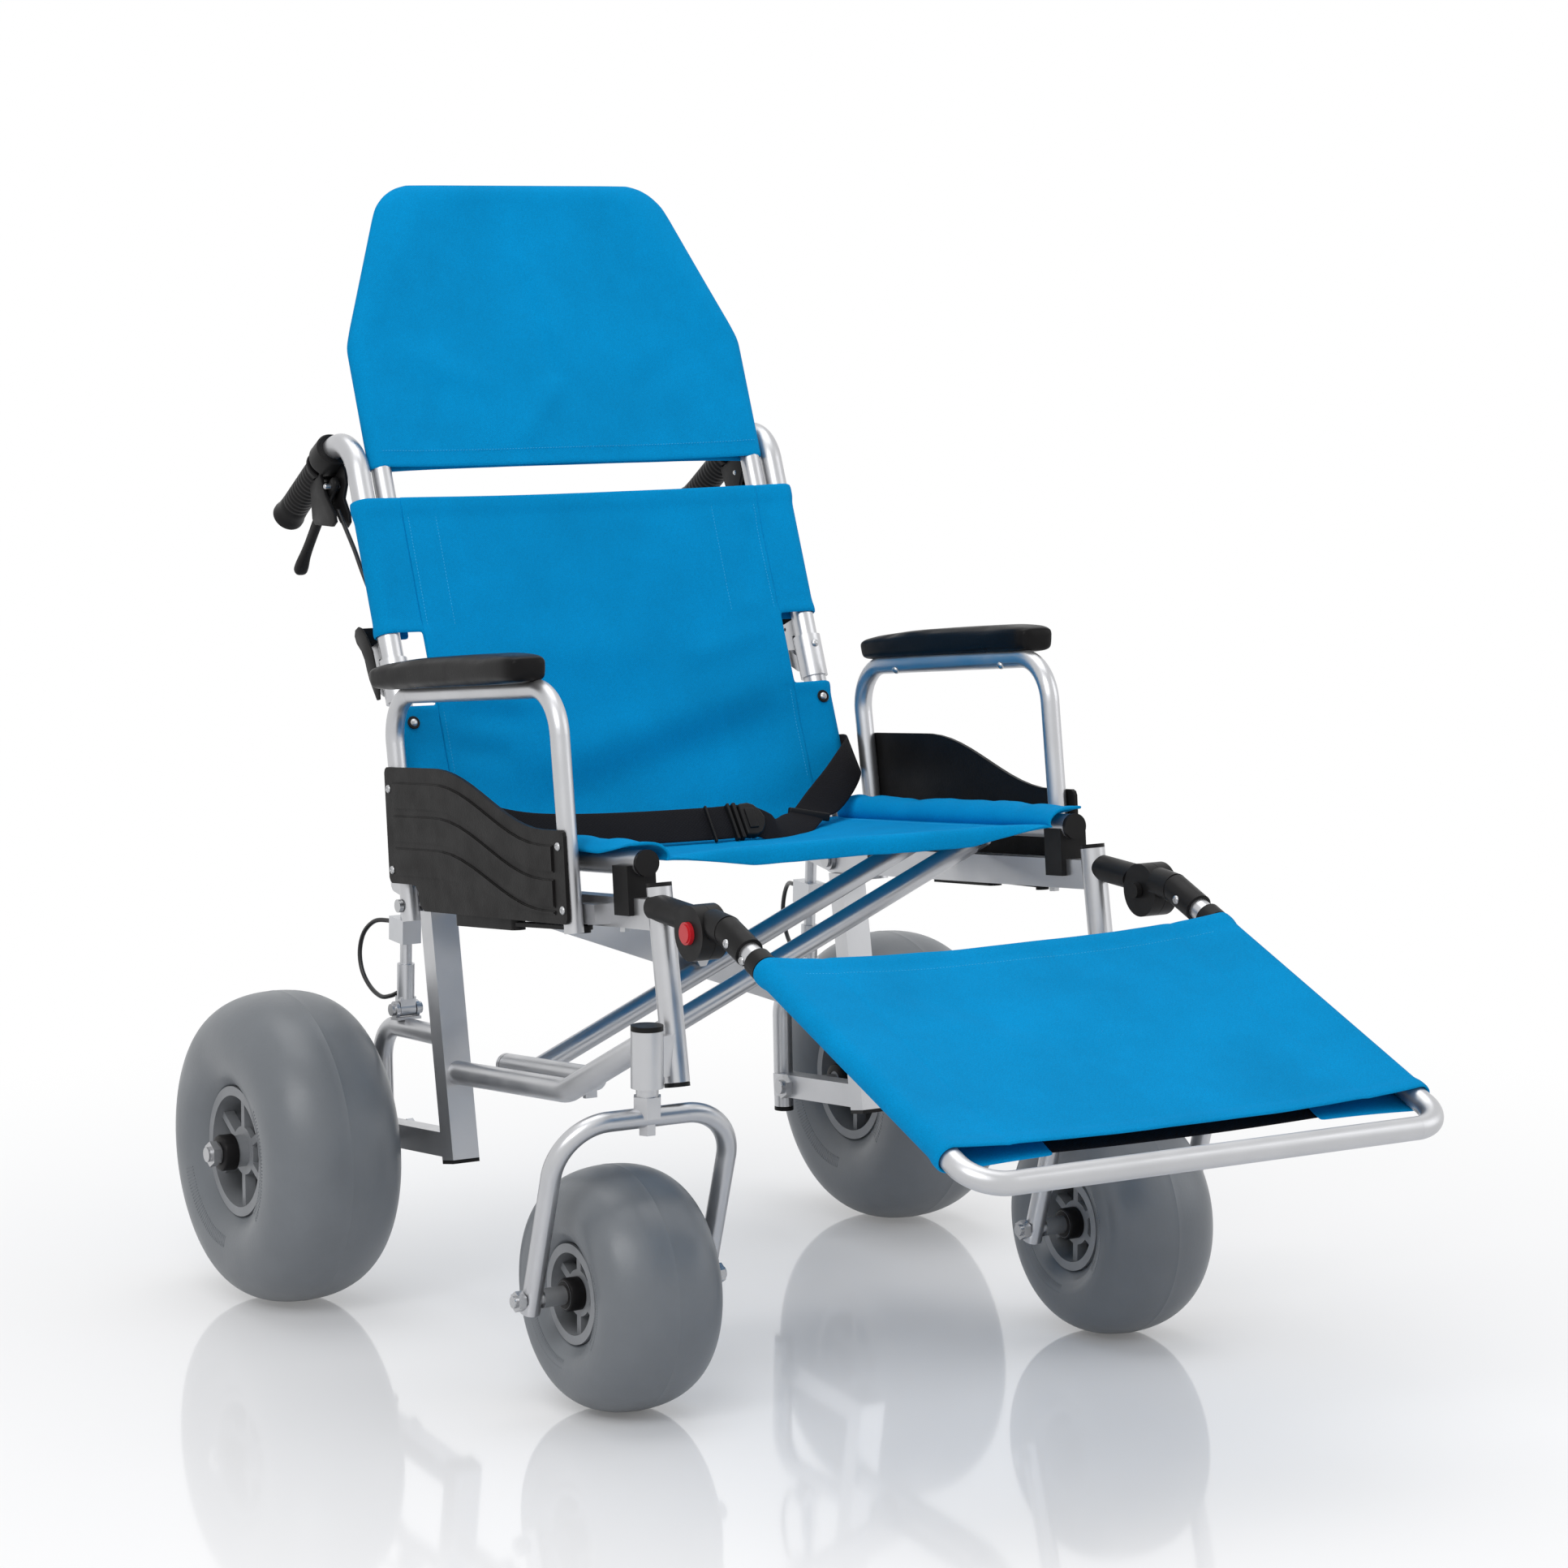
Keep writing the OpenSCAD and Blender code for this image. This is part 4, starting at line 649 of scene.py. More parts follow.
def woven_skin(name, colour, pitch, rough, sheen, relief):
    """Plain weave on the cloth's own map, with slubs in the yarn and a slow drift of colour."""
    skin, tree, shader, where = new_skin(name, Sheen_Weight=sheen, Sheen_Roughness=0.4, Roughness=rough,
                                         Specular_IOR_Level=0.06)
    shader.inputs["Sheen Tint"].default_value = shade(colour, 1.4)
    chart = add(tree, "UVMap").outputs["UV"]
    parts = add(tree, "SeparateXYZ", Vector=chart)
    waves = [reckon(tree, "SINE", reckon(tree, "MULTIPLY", parts.outputs[axis], pi / pitch)) for axis in ("X", "Y")]
    slub = add(tree, "TexNoise", Vector=where, Scale=900.0, Detail=3.0)
    height = reckon(tree, "ADD", reckon(tree, "MULTIPLY", *waves), slub.outputs["Fac"])
    bumped(tree, shader, height, relief, 0.0003)
    broad = drift(tree, where, colour, 0.09, 9.0)
    fleck = add(tree, "MapRange", Value=slub.outputs["Fac"], From_Min=0.3, From_Max=0.7, To_Min=0.86, To_Max=1.12)
    mixed = add(tree, "Mix", {"data_type": "RGBA", "blend_type": "MULTIPLY"})
    mixed.inputs["Factor"].default_value = 1.0
    tree.links.new(broad, mixed.inputs["A"])
    tree.links.new(fleck.outputs["Result"], mixed.inputs["B"])
    tree.links.new(mixed.outputs["Result"], shader.inputs["Base Color"])
    return skin


SKINS = {}


def skin_of(name):
    """A finish by name, made the first time it is asked for."""
    if name not in SKINS:
        hue = bpy.context.scene.chair_colours
        maker, colour, *rest = {
            "tube": (silver_skin, hue.tube, 0.33),
            "zinc": (silver_skin, (0.46, 0.465, 0.475), 0.3),
            "strut": (silver_skin, (0.56, 0.57, 0.59), 0.36),
            "plastic": (moulded_skin, hue.plastic, 0.4, 1400.0, 0.12, 0.12),
            "guard": (moulded_skin, (0.0115, 0.0108, 0.0108), 0.42, 620.0, 0.3, 0.1),
            "rubber": (moulded_skin, (0.0095, 0.009, 0.0095), 0.4, 900.0, 0.2, 0.11),
            "pad": (moulded_skin, (0.008, 0.0076, 0.008), 0.32, 760.0, 0.2, 0.09),
            "hub": (moulded_skin, hue.hub, 0.4, 1100.0, 0.1),
            "button": (moulded_skin, hue.button, 0.32, 1500.0, 0.06),
            "cable": (moulded_skin, (0.012, 0.012, 0.013), 0.36, 1600.0, 0.08),
            "tyre": (tyre_skin, hue.tyre),
            "canvas": (woven_skin, hue.canvas, 0.0009, 0.82, 0.03, 0.22),
            "thread": (woven_skin, (0.05, 0.44, 0.76), 0.0006, 0.7, 0.1, 0.1),
            "webbing": (woven_skin, (0.011, 0.011, 0.013), 0.0016, 0.72, 0.15, 0.4),
        }[name]
        SKINS[name] = maker(name, tuple(colour), *rest)
    return SKINS[name]


def on_sides(*stems):
    """Names of the nodes that the chair has on both sides."""
    return [f"{stem}_{side}" for stem in stems for side in SIDES]


NODE_SKINS = {
    "tube": ["side_rails", "front_posts", "lower_rails", "rear_legs", "rear_loops", "seat_tubes", "cross_braces",
             "lower_canes", "upper_canes", "headrest_tube", "leg_rest_tube", *on_sides("armrest_tube", "caster_fork")],
    "zinc": ["frame_fasteners", *on_sides("caster_axle")],
    "strut": on_sides("strut_cylinder", "strut_rod"),
    "plastic": ["seat_saddles", "end_caps", "leg_rest_housings", *on_sides("leg_joint", "arm_latch")],
    "guard": on_sides("skirt_guard"),
    "hub": on_sides("rear_hub", "front_hub"),
    "button": on_sides("leg_button"),
}


class CHAIR_OT_finish_frame(bpy.types.Operator):
    """Gives the rigid nodes of the frame their finishes"""

    bl_idname = "chair.finish_frame"
    bl_label = "Frame finishes"

    def execute(self, context):
        for skin, nodes in NODE_SKINS.items():
            for node in nodes:
                NODES[node].data.materials.clear()
                NODES[node].data.materials.append(skin_of(skin))
        return {"FINISHED"}


TYRES = {"rear": (0.0665, 2.3, -52), "front": (0.047, 2.2, -48)}
TYRE_WALL = 0.004
TYRE_ANGLE = 50
TYRE_STEPS = (64, 24)
SEAM_WIDE = 0.0009
BEAD_RINGS = ((0.0008, 0.014, 0.0016), (0.0005, 0.024, 0.0012))
TICK_TURN = radians(2.1)
TICK_GROUPS = (0.35, 0.35 + 2.2)
TICK_HALF = 0.0007
TICK_SUNK = -0.0004
TICK_SPAN = (-0.32, -0.12)
TICK_FACES = ((0, 1, 3, 2), (2, 3, 5, 4), (4, 5, 7, 6), (6, 7, 1, 0), (0, 2, 4, 6), (1, 7, 5, 3))


def tyre_point(mid, half, deep, power, angle):
    """A point (along the axle, out from it) of a tyre's round section."""
    return half * signed(cos(angle), 2 / power), mid + deep * signed(sin(angle), 2 / power)


def bell(off, width):
    """A smooth hump: 1 at 0, falling away within the width."""
    return exp(-(off / width) ** 2)


def box_of(node):
    """Middle and half size of a node's box."""
    low, high = (Vector(corner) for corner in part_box(node))
    return (low + high) / 2, (high - low) / 2


def make_tyre(axle, side, sizes):
    """One balloon tyre with its mould seam, its bead rings and its groups of ticks."""
    bead, power, cut = TYRES[axle]
    node = f"{axle}_tyre_{side}"
    centre, reach = box_of(node)
    half, radius = reach.x, reach.z
    cut = radians(cut)
    deep = (radius - bead) / (1 + abs(sin(cut)) ** (2 / power))
    mid = radius - deep
    count, fewer = TYRE_STEPS
    outer = []
    for i in range(count + 1):
        along, out = tyre_point(mid, half, deep, power, cut + (pi - 2 * cut) * i / count)
        ring = sum(high * bell(out - bead - place, wide) for high, place, wide in BEAD_RINGS)
        outer.append((along + (ring if along > 0 else -ring), out + sizes.seam * bell(along, SEAM_WIDE) - sizes.seam))
    for off in (0.0012, 0.0006, -0.0006, -0.0012):
        rise = sizes.seam * bell(off, SEAM_WIDE)
        outer.insert(sum(1 for a, _ in outer if a > off), (off, mid + deep + rise - sizes.seam))
    inner = [tyre_point(mid, half - TYRE_WALL, deep - TYRE_WALL, power, cut + (pi - 2 * cut) * i / fewer)
             for i in range(fewer, -1, -1)]
    piece = spun(f"tyre_{axle}_{side}", outer + inner, centre, ACROSS, sizes.turns)
    settle(piece, f"{axle}_wheel_{side}", skin_of("tyre"), TYRE_ANGLE)
    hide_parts(node)
    points, faces = [], []
    near, far = TICK_SPAN
    corners = ((near, TICK_SUNK, 1), (near, sizes.tick, 0.6), (far, sizes.tick, 0.6), (far, TICK_SUNK, 1))
    for wall in (1, -1):
        for turn in (-group - k * TICK_TURN for group in TICK_GROUPS for k in range(sizes.ticks)):
            faces += [tuple(len(points) + n for n in quad) for quad in TICK_FACES]
            for angle, lift, widen in corners:
                along, out = tyre_point(mid, half + lift, deep + lift, power, angle)
                for edge in (-TICK_HALF * widen, TICK_HALF * widen):
                    spin_by = turn + edge / out
                    points.append(centre + Vector((wall * along, out * cos(spin_by), out * sin(spin_by))))
    ticks = meshed(f"tyre_ticks_{axle}_{side}", points, faces)
    settle(ticks, f"{axle}_wheel_{side}", skin_of("tyre"))


class CHAIR_OT_make_tyres(bpy.types.Operator):
    """Makes the four balloon tyres"""

    bl_idname = "chair.make_tyres"
    bl_label = "Balloon tyres"

    def execute(self, context):
        for axle in TYRES:
            for side in SIDES:
                make_tyre(axle, side, context.scene.chair_wheels)
        return {"FINISHED"}


BUSHES = {"rear": (0.0084, 0.0195, 0.0795), "front": (0.0065, 0.0165, 0.0622)}


class CHAIR_OT_make_bushes(bpy.types.Operator):
    """Makes the black bushes round the axles at the hubs' faces"""

    bl_idname = "chair.make_bushes"
    bl_label = "Axle bushes"

    def execute(self, context):
        for side, sign in SIDES.items():
            for axle, (bore, rim, end) in BUSHES.items():
                centre, _ = box_of(f"{axle}_hub_{side}")
                profile = [(end - 0.016, rim), (end - 0.003, rim), (end - 0.001, rim - 0.001),
                           (end + 0.0002, rim - 0.0035), (end + 0.0002, bore + 0.003), (end - 0.002, bore + 0.001),
                           (end - 0.016, bore + 0.001)]
                for face in (1, -1):
                    name = f"bush_{axle}_{side}_{'out' if face == sign else 'in'}"
                    piece = spun(name, profile, centre, ACROSS * face, 48)
                    settle(piece, f"{axle}_wheel_{side}", skin_of("rubber"))
        return {"FINISHED"}


SEAT_X = 253.5
SEAT_W = 36.5
SEAT_R = 13.2
SEAT_V = (313.0, -101.0)
SEAT_SAG = 22.0
SEAT_FOLDS = ((1.6, (226, -20), (60, 70), 16), (-1.8, (226, 60), (96, 130), 15),
              (1.5, (-226, 30), (-90, 96), 15), (-1.3, (-226, 110), (-110, 150), 14))
SEAT_STEPS = 62
SEAT_SEAM = 15.6
SEAT_LEAVE = radians(123)
SEAT_CURL = ((2.2, 1.2), (3.8, 4.2), (4.4, 8.4), (4.0, 12.6), (3.2, 16.6))


def seat_low(v):
    """Height of the seat cloth's middle over the datum."""
    t = 2 * (SEAT_V[0] - v) / (SEAT_V[0] - SEAT_V[1]) - 1
    return SEAT_W + SEAT_R - SEAT_SAG * (1 - 0.25 * t * t) + 8 * exp(-((v - SEAT_V[1]) / 70) ** 2)


def seat_half(v, side, puff):
    """Half section of the seat at v: flange, puffed sleeve and panel, from the outer edge to the middle."""
    top = SEAT_W + SEAT_R
    swell = puff * (0.84 + 0.42 * ripple(v, 40 * side, 58, 3.1) + 0.2 * ripple(v, 9, 21, 7.7))
    flap = 2.4 * ripple(v, 70 * side, 80, 1.3)
    tip = min(1.0, max(0.0, (-46 - v) / 55))
    swell *= 1 - 0.45 * tip
    sleeve = [Vector(p) for p in (
        (SEAT_X + 18 - 5 * tip, SEAT_W + 8.0 + flap + 10 * tip),
        (SEAT_X + 12 - 2 * tip, SEAT_W + 12.5 + 0.6 * flap + 0.5 * swell + 3 * tip),
        (SEAT_X + 4, top + 0.95 * swell), (SEAT_X - 6, top + swell - 0.4),
        (SEAT_X - 15, top - 1.4 + 0.9 * swell), (SEAT_X - 22, top - 4.4 + 0.7 * swell),
        (SEAT_X - 26.4, top - 8.4 + 0.35 * swell), (SEAT_X - 25.6, top - 11.4), (SEAT_X - 22.6, top - 13.2))]
    seam = sleeve[-1]
    low = seat_low(v)
    panel = []
    for k in range(33):
        u = 1 - k / 32
        x = seam.x * u
        wave = 1.1 * ripple(x * side, v, 70, 5.5) + 0.6 * ripple(x * side + 40, v, 26, 2.2)
        wave += folds(SEAT_FOLDS, x * side, v)
        panel.append(Vector((x, low + (seam.y - low) * u ** 4 + wave * (1 - u ** 6))))
    return even(smooth_line(sleeve, 4), 14) + even(panel, 32)[1:]


def seat_rows(puff):
    """The seat cloth's points, from its rear edge to its front edge."""
    rows = []
    for j in range(SEAT_STEPS + 1):
        v = SEAT_V[0] + (SEAT_V[1] - SEAT_V[0]) * j / SEAT_STEPS
        rows.append(both_halves(lambda side: seat_half(v, side, puff), lambda x, w: seat_at(x, v, w)))
    edge = rows[-1]
    for ahead, drop in SEAT_CURL:
        row = []
        for point in edge:
            sleeve = min(1.0, max(0.0, (abs(point.x) / MM - 130) / 96))
            fore = ahead * (1 - sleeve) + 0.3 * sleeve * drop
            row.append(point - MM * (fore * SEAT_BACK + drop * (1 - sleeve) * SEAT_UP))
        rows.append(row)
    return rows


class CHAIR_OT_make_seat(bpy.types.Operator):
    """Makes the seat's canvas sling with its puffed sleeves, hems and sewing"""

    bl_idname = "chair.make_seat"
    bl_label = "Seat canvas"

    def execute(self, context):
        sizes = context.scene.chair_canvas
        rows = seat_rows(sizes.puff / MM)
        piece = laid_cloth("seat_cover", rows)
        front = seat_at(0, SEAT_V[1], SEAT_W)
        rear = seat_at(0, SEAT_V[0], SEAT_W)

        def hem(point):
            ahead = (point - front).dot(SEAT_BACK) / MM
            behind = (rear - point).dot(SEAT_BACK) / MM
            return 1.0 if min(ahead, behind) < 12 or abs(point.x) > (SEAT_X + 13) * MM else 0.0

        thicken(piece, sizes.ply, sizes.hem, hem)
        settle(piece, "frame", skin_of("canvas"), SOFT_ANGLE)
        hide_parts("seat_canvas")
        last = len(rows) - 1
        wide = len(rows[0])
        lines = [[on_cloth(rows, j, i, sizes.ply) for i in range(16, wide - 16)]
                 for j in (last - 0.9, last - len(SEAT_CURL) - 2.6, 2.6)]
        lines += [[on_cloth(rows, j, i, sizes.ply) for j in range(last)] for i in (SEAT_SEAM, wide - 1 - SEAT_SEAM)]
        thread = stitches("seat_sewing", lines, "frame", sizes.stitch)
        return {"FINISHED"}


CANE_X = 260.5
CANE_B = -20.0
CANE_R = 13.2
PANEL_X = 223.0
BACK_S = (435.0, 282.0, 200.0, 84.0, 40.0)
BACK_BELLY = 9.0
BACK_POCKET = 25
BACK_SEAM = 29.5
BACK_EDGE_SEAMS = (36.8, 35.1)
FOLD_S = 240.0


BACK_FOLDS = (
    (6.0, (226, 206), (-120, 116), 28), (-10.5, (228, 168), (-170, 66), 36), (3.4, (-214, 216), (-96, 196), 13),
    (-3.0, (-214, 192), (-110, 176), 14), (2.6, (214, 268), (96, 236), 15), (-4.2, (214, 400), (186, 300), 20),
    (3.0, (-140, 262), (60, 250), 30), (-2.6, (-220, 150), (-140, 138), 13))


def back_relief(x, s):
    """How far the back's canvas stands out of its plain form, in millimetres, at x and s."""
    return 1.0 * ripple(x, s, 95, 4.4) + 0.4 * ripple(x, s, 34, 8.1) + folds(BACK_FOLDS, x, s)


def back_half(s, inner, side):
    """Half section of the back at s: rear flap, round the cane, pocket front and panel."""
    flap = [Vector((inner + (CANE_X - inner) * k / 4, CANE_B + CANE_R)) for k in range(5)]
    turns = [radians(90 - 180 * k / 14) for k in range(1, 15)]
    bend = [Vector((CANE_X + CANE_R * cos(turn), CANE_B + CANE_R * sin(turn))) for turn in turns]
    front = []
    pocket = [CANE_X - (CANE_X - PANEL_X - 2.4) * k / 7 for k in range(1, 8)]
    panel = [(PANEL_X - 1.4) * (1 - k / 30) for k in range(31)]
    for x in pocket + [PANEL_X + 1.2, PANEL_X + 0.6, PANEL_X] + panel:
        u = x / CANE_X
        plain = CANE_B - CANE_R + (1 - u * u) * BACK_BELLY
        lap = -1.5 if x == PANEL_X + 0.6 else 1.2 if x <= PANEL_X else 0.0
        hold = 1 - u ** 8
        front.append(Vector((x, plain - lap - hold * back_relief(x * side, s))))
    return flap + bend + front


def back_rows():
    """The back cloth's points, from its top edge to its bottom edge."""
    rows, heights = [], []
    for (high, low), steps in zip(zip(BACK_S, BACK_S[1:]), (22, 14, 18, 5)):
        heights += [high + (low - high) * k / steps for k in range(steps)]
    heights.append(BACK_S[-1])
    for s in heights:
        inner = PANEL_X + 6 if s > FOLD_S else CANE_X - 8
        rows.append(both_halves(lambda side: back_half(s, inner, side), lambda x, b: back_at(x, b, s)))
    return rows, heights


class CHAIR_OT_make_back(bpy.types.Operator):
    """Makes the back's canvas in one cloth over the fold, notched at the fold joints"""

    bl_idname = "chair.make_back"
    bl_label = "Back canvas"

    def execute(self, context):
        sizes = context.scene.chair_canvas
        rows, heights = back_rows()
        wide = len(rows[0])
        piece = laid_cloth("back_cover", rows)

        def dead(j, i):
            s = (heights[j] + heights[j + 1]) / 2
            outer = i < BACK_POCKET or i >= wide - 1 - BACK_POCKET
            return outer and (BACK_S[2] < s < BACK_S[1] or s < BACK_S[3])

        cut_cells(piece, wide, dead)
        foot = back_at(0, CANE_B, BACK_S[-1])

        def hem(point):
            s = (point - foot).dot(CANE_UP) / MM + BACK_S[-1]
            if s > BACK_S[0] - 17 or s < BACK_S[-1] + 12:
                return 1.0
            side = abs(point.x) / MM
            in_notch = BACK_S[2] - 2 < s < BACK_S[1] + 2
            if side > PANEL_X + 1 and (abs(s - BACK_S[1]) < 9 or abs(s - BACK_S[2]) < 9):
                return 0.8
            return 0.9 if side > PANEL_X - 9 and in_notch else 0.0

        thicken(piece, sizes.ply, sizes.hem, hem)
        settle(piece, None, skin_of("canvas"), SOFT_ANGLE)
        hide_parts("lower_back_canvas", "upper_back_canvas")
        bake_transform(piece)
        upper, lower = [], []
        rear = {s: heights.index(s) for s in BACK_S}
        for i in (BACK_SEAM, wide - 1 - BACK_SEAM, BACK_EDGE_SEAMS[0], wide - BACK_EDGE_SEAMS[1]):
            upper.append([on_cloth(rows, j, i, sizes.ply) for j in range(0, rear[BACK_S[1]])])
        upper.append([on_cloth(rows, 2.3, i, sizes.ply) for i in range(20, wide - 20)])
        for i in (BACK_SEAM, wide - 1 - BACK_SEAM):
            lower.append([on_cloth(rows, j, i, sizes.ply) for j in range(rear[BACK_S[2]], rear[BACK_S[3]])])
        threads = [stitches("back_sewing_upper", upper, "back_upper", sizes.stitch),
                   stitches("back_sewing_lower", lower, "back_lower", sizes.stitch)]
        return {"FINISHED"}


HEAD_OUTLINE = [(247.3, 471), (247.3, 613), (240.3, 633), (188, 764), (181, 779), (169, 791), (156, 799), (140, 803)]
HEAD_LOW, HEAD_TOP = HEAD_OUTLINE[0][1], HEAD_OUTLINE[-1][1]
HEAD_TUBE = [(233.2, 300.0), (233.2, 600.0), (231.0, 616.0), (224.0, 632.0), (141.0, 768.0), (132.0, 779.0),
             (118.0, 786.0), (100.0, 787.9), (0.0, 787.9)]
HEAD_R = 11.7
HEAD_EDGE = (0, 0.4, 1.4, 3.2, 6.2, 9.5, 13)
HEAD_FOLDS = (
    (2.6, (20, 560), (-6, 716), 12), (-2.6, (4, 566), (-24, 712), 11), (2.8, (-205, 612), (-70, 560), 16),
    (-2.8, (206, 616), (90, 548), 18), (3.0, (-60, 494), (8, 572), 12), (-3.0, (-176, 488), (-140, 574), 11))


def half_width(line, s):
    """Half width at s of a form drawn by a line of (x, s) points, or 0 past its ends."""
    half = 0.0
    for (x0, s0), (x1, s1) in zip(line, line[1:]):
        if s0 <= s <= s1 and s1 > s0:
            half = x0 + (x1 - x0) * (s - s0) / (s1 - s0)
    return half


def off_line(line, x, s):
    """Distance of a point from a line of (x, s) points or from its mirror image."""
    near = 1000.0
    for (x0, s0), (x1, s1) in zip(line, line[1:]):
        run = Vector((x1 - x0, s1 - s0))
        t = max(0.0, min(1.0, Vector((abs(x) - x0, s - s0)).dot(run) / run.length_squared))
        near = min(near, hypot(abs(x) - x0 - run.x * t, s - s0 - run.y * t))
    return near


def head_depth(x, s, dish, side):
    """How far the head cover stands off the tubes' plane at x and s, to the front (-1) or the rear (1)."""
    off = off_line(HEAD_TUBE, x, s)
    if abs(x) >= half_width(HEAD_TUBE, s):
        inset = max(0.0, min(HEAD_TOP - s, off_line(HEAD_OUTLINE, x, s)))
        share = inset / max(inset + off, 0.001)
        return HEAD_R * sqrt(max(0.0, 1 - (1 - share) ** 2))
    sunk = 1 - exp(-max(0.0, off - 4) / 44)
    soft = 1.1 * ripple(x, s, 85, 6.2 + side) + 0.4 * ripple(x, s, 30, 9.4 + side)
    if side < 0:
        soft += folds(HEAD_FOLDS, x, s)
    return HEAD_R + (soft - dish) * sunk


def head_rows(dish, side):
    """One face of the head cover, from its top edge to its open lower edge."""
    rim = HEAD_EDGE[-1]
    rows = []
    for drop in [*HEAD_EDGE, *(rim + (HEAD_TOP - HEAD_LOW - rim) * k / 46 for k in range(1, 47))]:
        s = HEAD_TOP - drop
        w = half_width(HEAD_OUTLINE, s)
        half = [w - mark for mark in HEAD_EDGE] + [(w - rim) * (1 - k / 30) for k in range(1, 31)]
        xs = half + [-x for x in half[-2::-1]]
        rows.append([back_at(x, CANE_B + side * head_depth(x, s, dish, side), s) for x in xs])
    return rows


class CHAIR_OT_make_head(bpy.types.Operator):
    """Makes the head rest's cover, a flat bag pulled over the bent tube"""

    bl_idname = "chair.make_head"
    bl_label = "Head cover"

    def execute(self, context):
        sizes = context.scene.chair_canvas
        front, rear = (head_rows(sizes.dish / MM, side) for side in (-1, 1))
        piece = joined([laid_cloth("head_cover", front), laid_cloth("head_rear", rear)], "head_cover")
        outward(HEAD_WELD)
        foot = back_at(0, CANE_B, HEAD_LOW)

        def hem(point):
            return 1.0 if (point - foot).dot(CANE_UP) / MM < 18 else 0.0

        thicken(piece, sizes.ply, sizes.hem, hem)
        settle(piece, "headrest", skin_of("canvas"), SOFT_ANGLE)
        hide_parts("headrest_canvas")
        wide = len(front[0])
        lines = [[on_cloth(front, len(front) - 1 - 2.6, i, sizes.ply) for i in range(5, wide - 6)]]
        thread = stitches("head_sewing", lines, "headrest", sizes.stitch)
        return {"FINISHED"}


LEG_X = 260.0
LEG_Q = 23.0
LEG_R = 11.6
LEG_P = (115.0, 453.0)
LEG_FLAP = 112.0
LEG_SEAM = 62.0
LEG_LEAVE = 105
LEG_STEPS = 56
LEG_SEWN = 34.4
LEG_FOLDS = ((1.6, (-190, 180), (-60, 300), 20), (-1.2, (-150, 170), (10, 330), 22))
LEG_STRAPS = (428, 300, 172)
STRAP_ROWS = (-19, -9, 0, 9, 19)


def leg_half(p, side):
    """Half section of the leg canvas at p: flap below, round the tube, pocket top and panel."""
    t = (p - LEG_P[0]) / (LEG_P[1] - LEG_P[0])
    hang = -4 + 1.5 * ripple(p, 30 * side, 60, 2.9)
    flap = [Vector((LEG_X - LEG_FLAP * (1 - f), LEG_Q - LEG_R - hang * (1 - f ** 2)))
            for f in (k / 10 for k in range(10))]
    turns = [radians(-90 + (LEG_LEAVE + 90) * k / 16) for k in range(17)]
    bend = [Vector((LEG_X + LEG_R * cos(turn), LEG_Q + LEG_R * sin(turn))) for turn in turns]
    edge = bend[-1]
    seam = LEG_X - LEG_SEAM
    depth = 9 + 5 * sin(pi * t) + 3 * (1 - t)
    panel = []
    pocket = [edge.x - (edge.x - seam - 0.6) * k / 8 for k in range(1, 9)]
    for x in pocket + [seam * (1 - k / 28) for k in range(29)]:
        u = x / edge.x
        sag = depth * (1 - u ** 3)
        pinch = 0.7 * fold_line(x * side, p, (seam * side, 0), (seam * side, 520), 5)
        wave = 1.1 * ripple(x * side, p, 90, 3.3) + 0.5 * ripple(x * side, p * 1.6, 36, 1.9)
        wave += folds(LEG_FOLDS, x * side, p)
        panel.append(Vector((x, edge.y - sag + (wave * (1 - u ** 6)) - pinch + (0.8 if x <= seam else 0))))
    return flap + bend + panel


def leg_rows():
    """The leg canvas's points, from its upper edge to its far edge."""
    rows = []
    for j in range(LEG_STEPS + 1):
        p = LEG_P[0] + (LEG_P[1] - LEG_P[0]) * j / LEG_STEPS
        rows.append(both_halves(lambda side: leg_half(p, side), lambda x, q: leg_at(x, p, q)))
    return rows


class CHAIR_OT_make_leg(bpy.types.Operator):
    """Makes the leg rest's canvas with its side pockets, hems, sewing and the straps below it"""

    bl_idname = "chair.make_leg"
    bl_label = "Leg canvas"

    def execute(self, context):
        sizes = context.scene.chair_canvas
        rows = leg_rows()
        wide = len(rows[0])
        piece = laid_cloth("leg_cover", rows)
        near = leg_at(0, LEG_P[0], 0)

        def hem(point):
            p = (point - near).dot(LEG_OUT) / MM
            return 1.0 if min(p, LEG_P[1] - LEG_P[0] - p) < 14 else 0.0

        thicken(piece, sizes.ply, sizes.hem, hem)
        settle(piece, "leg_rest", skin_of("canvas"), SOFT_ANGLE)
        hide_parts("leg_rest_canvas")
        lines = [[on_cloth(rows, j, i, sizes.ply) for i in range(29, wide - 29)] for j in (0.8, 4.6, len(rows) - 3.2)]
        lines += [[on_cloth(rows, j, i, sizes.ply) for j in range(len(rows) - 1)]
                  for i in (LEG_SEWN, wide - 1 - LEG_SEWN)]
        pieces = [stitches("leg_sewing", lines, "leg_rest", sizes.stitch)]
        line = [(u * (LEG_X - LEG_FLAP + 26), LEG_Q - LEG_R + 1.2 - 3 * (1 - u * u))
                for u in (1 - n / 12 for n in range(25))]
        for k, p in enumerate(LEG_STRAPS):
            strap = laid_cloth(f"leg_strap_{k + 1}", [[leg_at(x, p + off, q) for x, q in line] for off in STRAP_ROWS])
            thicken(strap, sizes.webbing, sizes.webbing, lambda point: 1.0, 0.0)
            settle(strap, "leg_rest", skin_of("webbing"), SOFT_ANGLE)
            pieces.append(strap)
        return {"FINISHED"}


